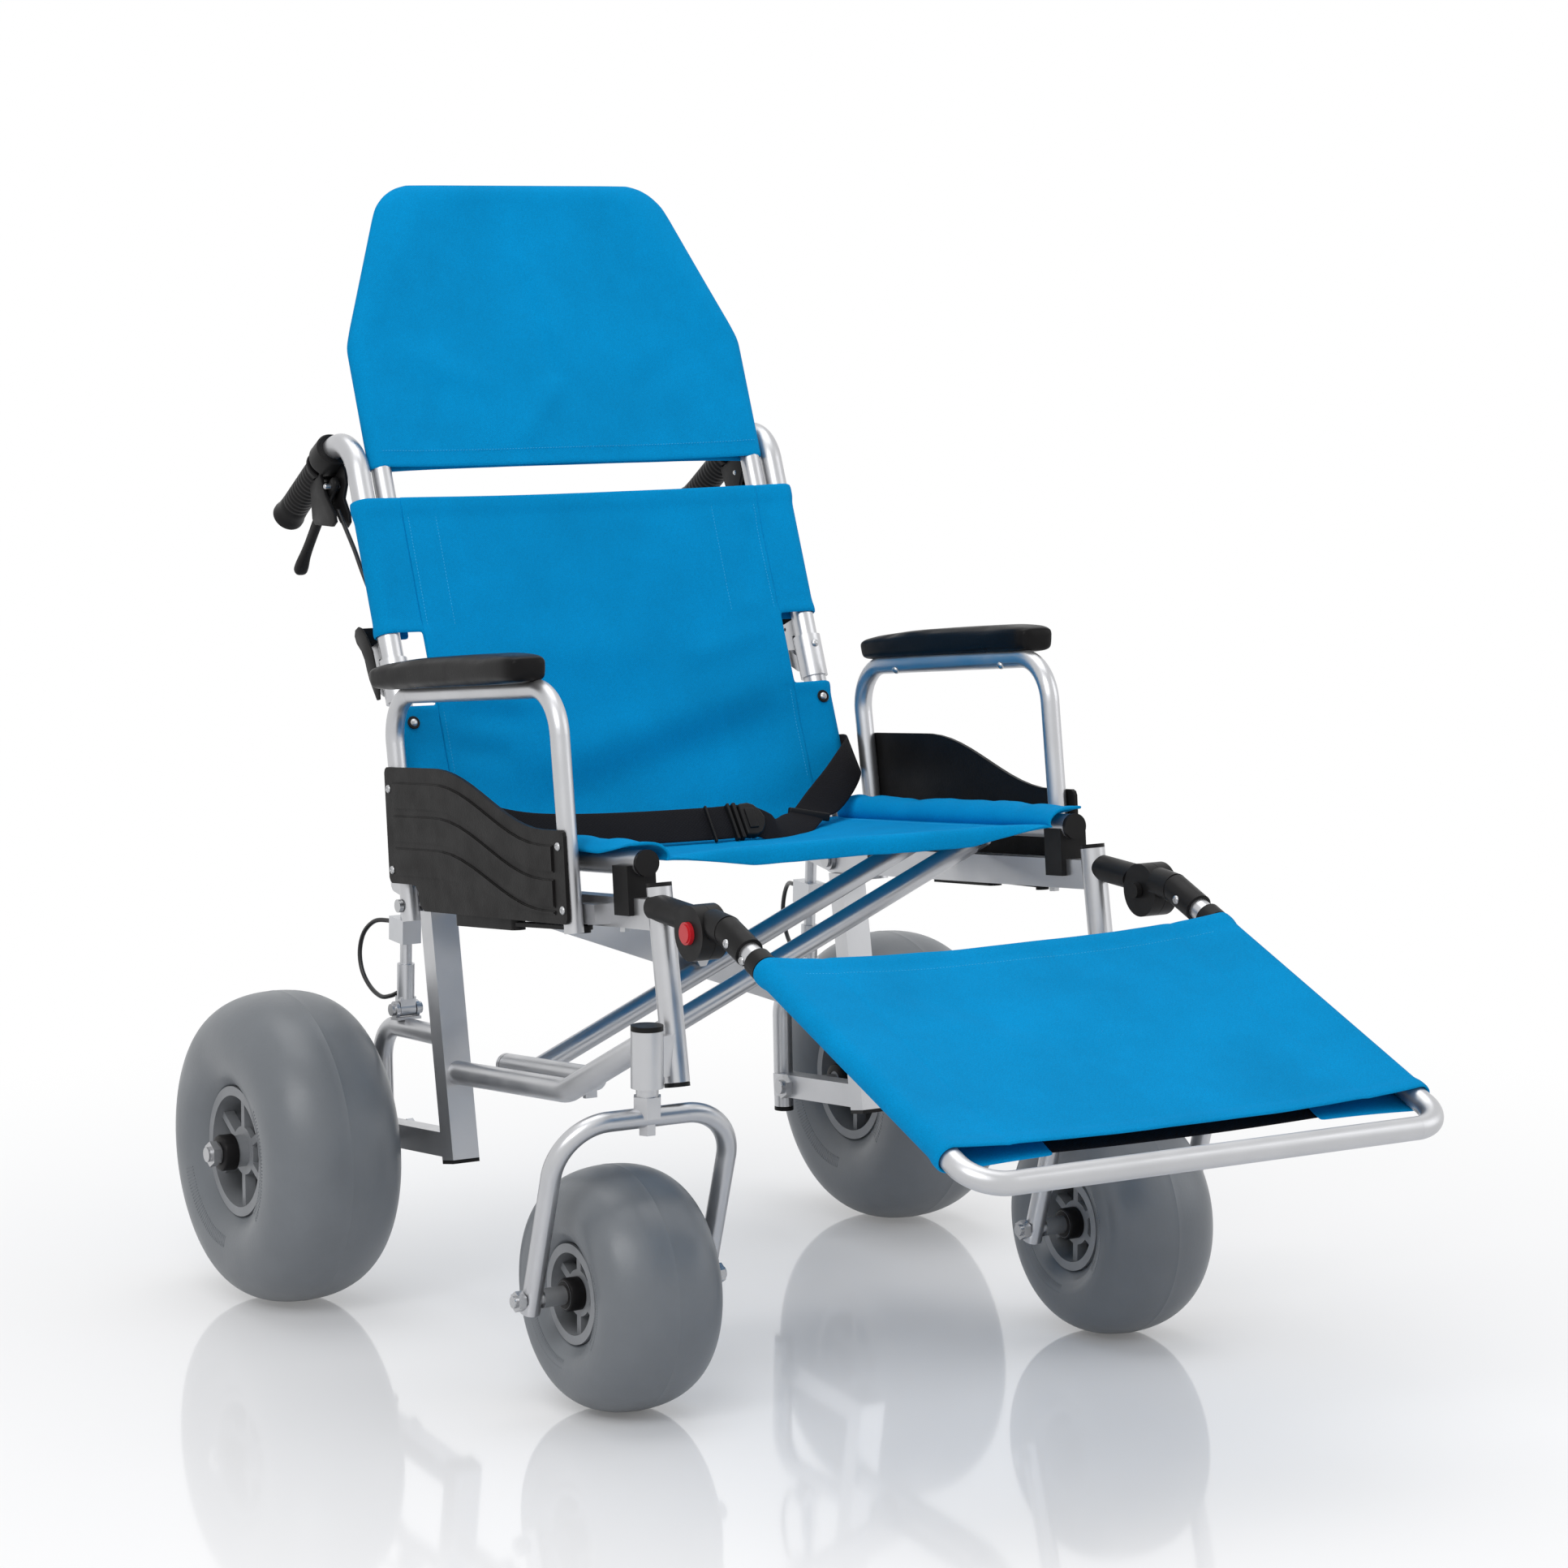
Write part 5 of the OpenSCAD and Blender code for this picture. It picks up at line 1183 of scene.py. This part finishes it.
BELT_ROUTE = [(-266, 326, 10), (-246, 288, 13), (-222, 262, 4), (-190, 240, 0), (-150, 220, 0), (-100, 202, 0),
              (-50, 188, 0), (0, 180, 0), (40, 176, 0)]
BELT_TURN = [((64, 183, 40), (0, 7, 17)), ((84, 194, 37), (-5, 9, 12)), ((114, 217, 40), (-14, 6, 11)),
             ((148, 246, 48), (-19, 2, 6)), ((178, 264, 60), (-19, 2, 12)), ((214, 288, 79), (-16, 2, 15)),
             ((248, 318, 97), (-12, 2, 17)), ((272, 350, 106), (-6, 2, 19)), ((281, 382, 107), (-1, 0, 20)),
             ((279, 408, 105), (0, 0, 20))]
BELT_W = 40.0
BELT_LEAN = 21.0
BUCKLE_SHELL = [(-4, 1), (8, 0), (15, 3), (21, 11), (24, 20), (21, 29), (15, 37), (8, 40), (-4, 39)]
BUCKLE_BARS = ((-8, 4.5, 10, 43), (-14.5, 3.5, 8, 44), (-41, 2.6, 5, 44))


def seat_level(x, v):
    """Height of the plain seat cloth's upper face over the datum."""
    low = seat_low(v)
    edge = SEAT_W + SEAT_R * sin(SEAT_LEAVE)
    reach = SEAT_X + SEAT_R * cos(SEAT_LEAVE)
    return low + (edge - low) * min(abs(x) / reach, 1) ** 5 + 2.5


def belt_edges(steps):
    """The belt's lower and upper edges as points (x, v, w), from its right end to its left end."""
    tall = sqrt(BELT_W ** 2 - BELT_LEAN ** 2)
    low = [Vector((x, v, seat_level(x, v) + 2.0 + lift)) for x, v, lift in BELT_ROUTE]
    high = [point + Vector((0, BELT_LEAN, tall)) for point in low]
    for centre, half in BELT_TURN:
        low.append(Vector(centre) - Vector(half))
        high.append(Vector(centre) + Vector(half))
    return smooth_line(low, steps), smooth_line(high, steps)


class CHAIR_OT_make_belt(bpy.types.Operator):
    """Makes the lap belt: webbing, buckle and slide"""

    bl_idname = "chair.make_belt"
    bl_label = "Lap belt"

    def execute(self, context):
        sizes = context.scene.chair_canvas
        low, high = belt_edges(6)
        rows = []
        for k in range(9):
            f = k / 8
            row = []
            for n, (a, b) in enumerate(zip(low, high)):
                bow = (1.4 + 1.2 * ripple(n * 9.0, f * 20, 60, 5.1)) * sin(pi * f)
                p = a.lerp(b, f)
                row.append(seat_at(p.x, p.y - bow, p.z))
            rows.append(row)
        belt = laid_cloth("belt_webbing", rows)
        thicken(belt, sizes.webbing, sizes.webbing, lambda point: 1.0, 0.0)
        settle(belt, None, skin_of("webbing"), SOFT_ANGLE)
        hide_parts("seat_belt")
        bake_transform(belt)
        round(length_of(rows[4]), 3)
        lean = BELT_LEAN / BELT_W
        up = (SEAT_UP * sqrt(1 - lean ** 2) + SEAT_BACK * lean).normalized()
        stand = facing(ACROSS, up.cross(ACROSS), up, seat_at(30, 174, seat_level(30, 176) + 2))
        upright_face = facing(Vector((1, 0, 0)), Vector((0, 0, 1)), Vector((0, -1, 0)), (0, 0.0045, 0))
        shell = drawn("buckle_shell", BUCKLE_SHELL, 11, 2.4, stand @ upright_face)
        bars = []
        for x, wide, deep, tall in BUCKLE_BARS:
            bar = block(f"buckle_bar_{len(bars)}", (wide * MM, deep * MM, tall * MM), 0.0012)
            bar.data.transform(stand @ Matrix.Translation((x * MM, 0, 0.02)))
            bars.append(bar)
        boss = block("buckle_boss", (0.011, 0.003, 0.024), 0.0012)
        boss.data.transform(stand @ Matrix.Translation((0.006, -0.0072, 0.02)))
        buckle = joined([shell, boss] + bars, "buckle")
        settle(buckle, "frame", skin_of("plastic"))
        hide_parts("belt_buckle")
        slide = block("belt_slide", (0.052, 0.006, 0.009), 0.0018)
        run = (SEAT_UP * -0.2 + ACROSS * 0.98).normalized()
        slide.data.transform(facing(run, SEAT_BACK, run.cross(SEAT_BACK), seat_at(147, 244, 48)))
        settle(slide, "frame", skin_of("plastic"))
        return {"FINISHED"}


ARM_X = 293.0
PAD_OUT = 12.0
PAD_FOOT = 213.4
PAD_REAR = 348
PAD_SLOPE = radians(1.07)
PAD_LIP = 3.0
PAD_FORM = [(340, 18.5, 21.6), (336, 20, 22.6), (326, 20.8, 23), (308, 21.8, 23.3), (284, 23, 23.4), (256, 24.4, 23.4),
            (232, 25.2, 23.4), (190, 25.6, 23.4), (140, 25.8, 23.4), (90, 25.6, 23.4), (50, 25.2, 23.2), (29, 24.2, 22),
            (19, 21.5, 19)]


class CHAIR_OT_make_pads(bpy.types.Operator):
    """Makes the arm pads: moulded foam skins, swelled by pressure over their bases"""

    bl_idname = "chair.make_pads"
    bl_label = "Arm pads"

    def execute(self, context):
        along = SEAT_BACK * cos(PAD_SLOPE) - SEAT_UP * sin(PAD_SLOPE)
        rise = SEAT_BACK * sin(PAD_SLOPE) + SEAT_UP * cos(PAD_SLOPE)
        foot = seat_at(ARM_X + PAD_OUT, PAD_REAR, PAD_FOOT) - along * PAD_REAR * MM
        stations = smooth_line([Vector(station) for station in PAD_FORM], 3)
        line = [foot + MM * (v * along + (top - PAD_LIP) / 2 * rise) for v, top, wide in stations]
        halves = [(wide, (top + PAD_LIP) / 2) for v, top, wide in stations]
        pad = swept("pad_left", line, ACROSS, halves, 4.2, 40, 0.36)
        swell(pad, 4.0, 0.0016)
        modify(pad, "SUBSURF", levels=1, render_levels=1)
        twin = copied(pad, "pad_right", Matrix.Diagonal((-1, 1, 1, 1)))
        for piece, side in ((pad, "left"), (twin, "right")):
            settle(piece, f"armrest_{side}", skin_of("pad"), SOFT_ANGLE)
            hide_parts(f"arm_pad_{side}")
        return {"FINISHED"}


def swell(piece, pressure, most):
    """Swells a closed skin by pressure in a cloth simulation, each point by no more than most."""
    rest = [vertex.co.copy() for vertex in piece.data.vertices]
    pick(piece)
    change = piece.modifiers.new("Swell", "CLOTH")
    change.settings.use_pressure = True
    change.settings.uniform_pressure_force = pressure
    change.settings.effector_weights.gravity = 0
    change.settings.quality = 5
    scene = bpy.context.scene
    for step in range(1, 21):
        scene.frame_set(step)
    bpy.ops.object.modifier_apply(modifier=change.name)
    scene.frame_set(1)
    for vertex, start in zip(piece.data.vertices, rest):
        move = vertex.co - start
        if move.length > most:
            vertex.co = start + move * (most / move.length)


UPPER_CABLE = [(0, 45, 447), (0, 41, 437), (0, 34, 420), (-1, 25, 394), (-2, 19, 370), (-6, 16, 344), (-12, 12, 318),
               (-17, 7, 292), (-17, 6, 262)]
LOWER_CABLE = [(-17, 6, 222), (-20, 6, 195), (-26, 6, 160), (-27, 8, 110), (-27, 14, 70), (-26, 26, 46),
               (-23.5, 38, 35), (-21.8, 48, 28)]
STRUT_LOOP = [(0, 26.3, 90), (2, 42, 90), (8, 62, 86), (13, 78, 71), (15, 84, 49), (15, 77, 28), (13, 60, 13),
              (11, 38, 7), (8, 20, 11), (5, 10, 16)]
CABLE_R = 2.5


class CHAIR_OT_make_cables(bpy.types.Operator):
    """Makes the release cables: one along each cane over the fold, and a loop at each strut"""

    bl_idname = "chair.make_cables"
    bl_label = "Release cables"

    def execute(self, context):
        for side, sign in SIDES.items():
            points = [back_at(sign * (CANE_X + x), b, s) for x, b, s in UPPER_CABLE + LOWER_CABLE]
            cable = swept(f"cane_cable_{side}", smooth_line(points, 6), CANE_BACK, [(CABLE_R, CABLE_R)])
            settle(cable, None, skin_of("cable"), SOFT_ANGLE)
            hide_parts("cable_upper", "cable_lower")
            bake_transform(cable)
            foot = joint_at(f"strut_swing_{side}")
            along = upright(f"strut_stroke_{side}")
            behind = Vector((0, along.z, -along.y))
            points = [foot + MM * (sign * x * ACROSS + y * behind + z * along) for x, y, z in STRUT_LOOP]
            line = smooth_line(points, 6)
            loop = swept(f"strut_loop_{side}", line, ACROSS, [(CABLE_R, CABLE_R)])
            settle(loop, None, skin_of("cable"), SOFT_ANGLE)
            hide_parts(f"strut_cable_{side}")
            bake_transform(loop)
            length_of(line)
        return {"FINISHED"}


HANDLE_DROP = radians(11.7)
HANDLE_S = 524.0
GRIP_RIBS = 12
GRIP_SLEEVE = [(84, 12.9), (84, 17.4), (85.4, 18.5), (87.8, 18.5), (89.4, 17.0), (91.5, 16.2)]
GRIP_SLEEVE += [(94 + 6.6 * k + step, out) for k in range(GRIP_RIBS)
                for step, out in ((0, 16.0), (1, 15.6), (3, 15.6), (4, 16.0))]
GRIP_SLEEVE += [(178, 16.2), (188, 16.8), (193, 18.0), (197, 18.0), (198.6, 16.6), (199.4, 13.6), (199.6, 0),
                (195.2, 0), (195.2, 12.9)]
CLAMP_RING = [(50, 12.9), (50, 17.6), (52, 19.4), (74, 20.2), (77, 19.0), (78.5, 16.6), (78.5, 12.9)]
LEVER_PIN = [(-11.6, 0), (-11.6, 2.2), (-10.6, 3), (10.6, 3), (11.6, 2.2), (11.6, 0)]
CHEEK = [(56, 506), (80, 501), (88, 474), (93, 454), (89, 446), (48, 430), (38, 432), (38, 442), (50, 466), (54, 486)]
INNER = [(70, 506), (34, 500), (27, 488), (30, 472), (42, 460), (36, 440), (38, 431), (48, 428), (60, 438), (72, 462),
         (76, 490)]
CROWN = [(34, 514), (80, 507), (79, 494), (70, 489), (42, 493), (34, 500)]
LEVER = [(40, 479), (46, 476), (60, 472), (80, 464), (106, 451), (134, 436), (150, 428), (158, 423), (166, 418)]
LEVER_HALVES = [(4.6, 7.0), (4.8, 8.0), (4.8, 8.0), (4.8, 7.2), (5.0, 6.2), (5.0, 5.4), (6.0, 5.8), (7.6, 6.6),
                (8.0, 6.4)]
FOLD_CHEEK = [(11, 304), (20, 303), (24, 297), (22, 288), (14, 277), (10, 266), (9, 254), (7, 242), (2, 228), (-2, 217),
              (-8, 216), (-12, 228), (-12, 250), (-11, 270), (-4, 288), (4, 300)]
FOLD_PADDLE = [(14.5, 304), (21, 302), (25, 296), (23, 287), (18, 281), (15.2, 287), (14, 296)]


def cane_plate(name, sign, outline, x, deep, bevel):
    """A plate in a plane along a cane, at x from the cane's middle, towards the chair's left."""
    at = back_at(sign * CANE_X + x, 0, 0)
    return drawn(name, outline, deep, bevel, facing(CANE_BACK, CANE_UP, ACROSS, at))


class CHAIR_OT_make_handles(bpy.types.Operator):
    """Makes the push handles: ribbed grips, clamps, lever brackets, hand levers and fold levers"""

    bl_idname = "chair.make_handles"
    bl_label = "Push handles"

    def execute(self, context):
        away = CANE_BACK * cos(HANDLE_DROP) - CANE_UP * sin(HANDLE_DROP)
        for side, sign in SIDES.items():
            corner = back_at(sign * CANE_X, CANE_B, HANDLE_S)
            grip = spun(f"grip_{side}", in_metres(GRIP_SLEEVE), corner, away, 48)
            settle(grip, "back_upper", skin_of("rubber"))
            clamp = spun(f"clamp_{side}", in_metres(CLAMP_RING), corner, away, 48)
            left, right = (CHEEK, INNER) if sign > 0 else (INNER, CHEEK)
            plates = [cane_plate("plate_0", sign, left, 6.2, 4.2, 1.0),
                      cane_plate("plate_1", sign, right, -10.4, 4.2, 1.0),
                      cane_plate("plate_2", sign, CROWN, -10.4, 20.8, 2.0)]
            pin = spun(f"lever_pin_{side}", in_metres(LEVER_PIN), back_at(sign * CANE_X, 46, 476), ACROSS, 24)
            bracket = joined([clamp] + plates, f"bracket_{side}")
            settle(bracket, "back_upper", skin_of("plastic"))
            settle(pin, "back_upper", skin_of("zinc"))
            for piece in (grip, bracket, pin):
                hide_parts("handle_grips")
            line = [back_at(sign * CANE_X, b, s) for b, s in LEVER]
            lever = swept(f"lever_{side}", line, ACROSS, LEVER_HALVES, 2.8, 20)
            modify(lever, "SUBSURF", levels=1, render_levels=1)
            settle(lever, f"hand_lever_{side}", skin_of("plastic"), SOFT_ANGLE)
            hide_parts(f"hand_lever_{side}")
            cheek = cane_plate("cheek", sign, FOLD_CHEEK, 16.2 if sign > 0 else -18.6, 2.4, 0.8)
            paddle = cane_plate("paddle", sign, FOLD_PADDLE, -8 if sign > 0 else -18.4, 26.4, 2.4)
            press = joined([cheek, paddle], f"fold_press_{side}")
            settle(press, f"fold_lever_{side}", skin_of("plastic"))
            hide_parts(f"fold_lever_{side}")
        return {"FINISHED"}


def studs(name, pattern, spots, body, skin):
    """Copies of a small fastener at places with their normals, made one piece."""
    pieces = [copied(pattern, f"{name}_{k}", aim(place, normal)) for k, (place, normal) in enumerate(spots)]
    return settle(joined(pieces, name), body, skin_of(skin))


STUDS = {
    "screw": [(-0.4, 0), (-0.4, 4.4), (0.5, 4.5), (1.5, 4.0), (2.2, 2.9), (2.4, 2.0), (1.0, 1.5), (0.9, 0)],
    "rivet": [(-0.4, 0), (-0.4, 4.6), (0.6, 4.5), (1.8, 3.7), (2.7, 2.3), (3.0, 0.9), (3.05, 0)],
    "washer": [(-0.6, 3.6), (-0.6, 7.0), (0.3, 7.2), (1.0, 6.6), (1.1, 3.6)],
}
GUARD_X = 307.1
GUARD_SCREWS = ((349, 104), (349, 18), (-28, 54), (-32, -9))
ARM_RIVETS = (62, 272)


class CHAIR_OT_make_fasteners(bpy.types.Operator):
    """Makes the small screws and rivets: guards, back canvas, fold sleeves, arm tubes and leg-rest housings"""

    bl_idname = "chair.make_fasteners"
    bl_label = "Screws and rivets"

    def execute(self, context):
        screw, rivet, washer = (spun(name, in_metres(profile), Vector(), Vector((0, 0, 1)), 24)
                                for name, profile in STUDS.items())
        fore = -CANE_BACK
        skin_b = CANE_B - CANE_R - 2.6
        for side, sign in SIDES.items():
            out = ACROSS * sign
            guard = [(seat_at(sign * GUARD_X, v, w), out) for v, w in GUARD_SCREWS]
            studs(f"guard_screws_{side}", screw, guard, f"armrest_{side}", "zinc")
            canvas = [(back_at(sign * 257, skin_b, 181), fore)]
            studs(f"canvas_washer_{side}", washer, canvas, "back_lower", "plastic")
            studs(f"canvas_rivet_{side}", rivet, canvas, "back_lower", "zinc")
            sleeve = [(back_at(sign * CANE_X, CANE_B - 15.4, 244), fore)]
            studs(f"sleeve_rivet_{side}", rivet, sleeve, "back_lower", "zinc")
            inner = -out * 0.8 - SEAT_UP * 0.6
            arm = [(seat_at(sign * (ARM_X - 7.9), v, 203 + (338 - v) * 0.0187 - 5.9), inner) for v in ARM_RIVETS]
            studs(f"arm_rivets_{side}", rivet, arm, f"armrest_{side}", "zinc")
            legs = [(leg_at(sign * 274, 62, 23), out), (leg_at(sign * 246, 62, 23), -out),
                    (leg_at(sign * 270.5, 88, 19), out)]
            studs(f"housing_screws_{side}", screw, legs, "leg_rest", "zinc")
        for pattern in (screw, rivet, washer):
            bpy.data.objects.remove(pattern)
        return {"FINISHED"}


CAMERA_PLACE = (-2.3059, -3.7813, 1.1560)
CAMERA_TURN = (radians(90 - 7.338), 0, radians(-31.005))
FLOOR_SIZE = 40
FLOOR_DROP = 0.0004
FLOOR_FADE = (0.3, 1.9)
FLOOR_WHITE = 0.12


class CHAIR_OT_make_stage(bpy.types.Operator):
    """Makes the floor, the light and the camera"""

    bl_idname = "chair.make_stage"
    bl_label = "Stage"

    def execute(self, context):
        scene = context.scene
        sizes = scene.chair_stage
        scene.view_settings.view_transform = "Standard"
        fresh()
        bpy.ops.mesh.primitive_plane_add(size=FLOOR_SIZE, location=(0, 0, -FLOOR_DROP))
        floor = named("studio_floor")
        floor.data.transform(floor.matrix_world)
        floor.matrix_world = Matrix.Identity(4)
        skin, tree, shader, where = new_skin("floor", Roughness=0.06, Specular_IOR_Level=0.5)
        shader.inputs["Base Color"].default_value = (0.93, 0.935, 0.955, 1)
        far = add(tree, "VectorMath", {"operation": "LENGTH"}, Vector=where)
        fade = add(tree, "MapRange", {"interpolation_type": "SMOOTHSTEP"}, Value=far.outputs["Value"],
                   From_Min=FLOOR_FADE[0], From_Max=FLOOR_FADE[1], To_Min=FLOOR_WHITE)
        seen = seen_by(tree, "Is Camera Ray", "Is Glossy Ray")
        white = add(tree, "Emission", Color=(1, 1, 1, 1), Strength=1.0)
        both = add(tree, "MixShader", Fac=reckon(tree, "MULTIPLY", fade.outputs["Result"], seen))
        tree.links.new(shader.outputs["BSDF"], both.inputs[1])
        tree.links.new(white.outputs["Emission"], both.inputs[2])
        tree.links.new(both.outputs["Shader"], tree.nodes["Material Output"].inputs["Surface"])
        floor.data.materials.append(skin)
        world = bpy.data.worlds.new("studio")
        scene.world = world
        world.use_nodes = True
        tree = world.node_tree
        seen = seen_by(tree, "Is Camera Ray", "Is Glossy Ray", "Is Transmission Ray")
        power = add(tree, "MapRange", Value=seen, To_Min=sizes.sky, To_Max=1.0)
        tree.links.new(power.outputs["Result"], tree.nodes["Background"].inputs["Strength"])
        tree.nodes["Background"].inputs["Color"].default_value = (1, 1, 1, 1)
        for name, place, look, size, watts in (
                ("key", (-2.6, -2.6, 3.4), (0, 0, 0.5), 2.4, sizes.key),
                ("fill", (3.4, -2.2, 2.2), (0, 0, 0.5), 2.6, sizes.fill),
                ("top", (0.2, 0.6, 4.0), (0, 0, 0.4), 3.0, sizes.key * 0.8),
                ("glint", (-3.3, -1.6, 2.5), (-0.4, 0, 0.2), 0.6, sizes.glint)):
            fresh()
            bpy.ops.object.light_add(type="AREA", location=place)
            lamp = named("lamp_" + name)
            lamp.data.size = size
            lamp.data.energy = watts
            lamp.rotation_euler = (Vector(look) - Vector(place)).to_track_quat("-Z", "Y").to_euler()
        fresh()
        bpy.ops.object.camera_add(location=CAMERA_PLACE, rotation=CAMERA_TURN)
        camera = named("camera")
        camera.data.sensor_width = 36
        camera.data.lens = sizes.lens
        camera.data.clip_end = 200
        scene.camera = camera
        return {"FINISHED"}


class CHAIR_PT_parts(bpy.types.Panel):
    """Lists the steps that dress the chair"""

    bl_label = "Beach wheelchair"
    bl_idname = "CHAIR_PT_parts"
    bl_space_type = "VIEW_3D"
    bl_region_type = "UI"
    bl_category = "Beach chair"

    def draw(self, context):
        for group in GROUPS:
            sizes = getattr(context.scene, group)
            for key in sizes.__annotations__:
                self.layout.prop(sizes, key)
        for step in STEPS:
            self.layout.operator(step.bl_idname)


GROUPS = {
    "chair_canvas": CanvasSizes,
    "chair_wheels": WheelSizes,
    "chair_colours": FinishColours,
    "chair_stage": StageSizes,
}
STEPS = [
    CHAIR_OT_make_stage, CHAIR_OT_finish_frame, CHAIR_OT_make_tyres, CHAIR_OT_make_bushes, CHAIR_OT_make_seat,
    CHAIR_OT_make_back, CHAIR_OT_make_head, CHAIR_OT_make_leg, CHAIR_OT_make_belt, CHAIR_OT_make_pads,
    CHAIR_OT_make_cables, CHAIR_OT_make_handles, CHAIR_OT_make_fasteners,
]


def register():
    """Registers the sizes, the steps and the panel."""
    for name, group in GROUPS.items():
        bpy.utils.register_class(group)
        setattr(bpy.types.Scene, name, PointerProperty(type=group))
    for step in STEPS:
        bpy.utils.register_class(step)
    bpy.utils.register_class(CHAIR_PT_parts)


def unregister():
    """Takes the panel, the steps and the sizes away again."""
    bpy.utils.unregister_class(CHAIR_PT_parts)
    for step in reversed(STEPS):
        bpy.utils.unregister_class(step)
    for name, group in reversed(GROUPS.items()):
        delattr(bpy.types.Scene, name)
        bpy.utils.unregister_class(group)


def main():
    """Runs every step in order."""
    register()
    for step in STEPS:
        family, action = step.bl_idname.split(".")
        getattr(getattr(bpy.ops, family), action)()
    fresh()


if __name__ == "__main__":
    main()
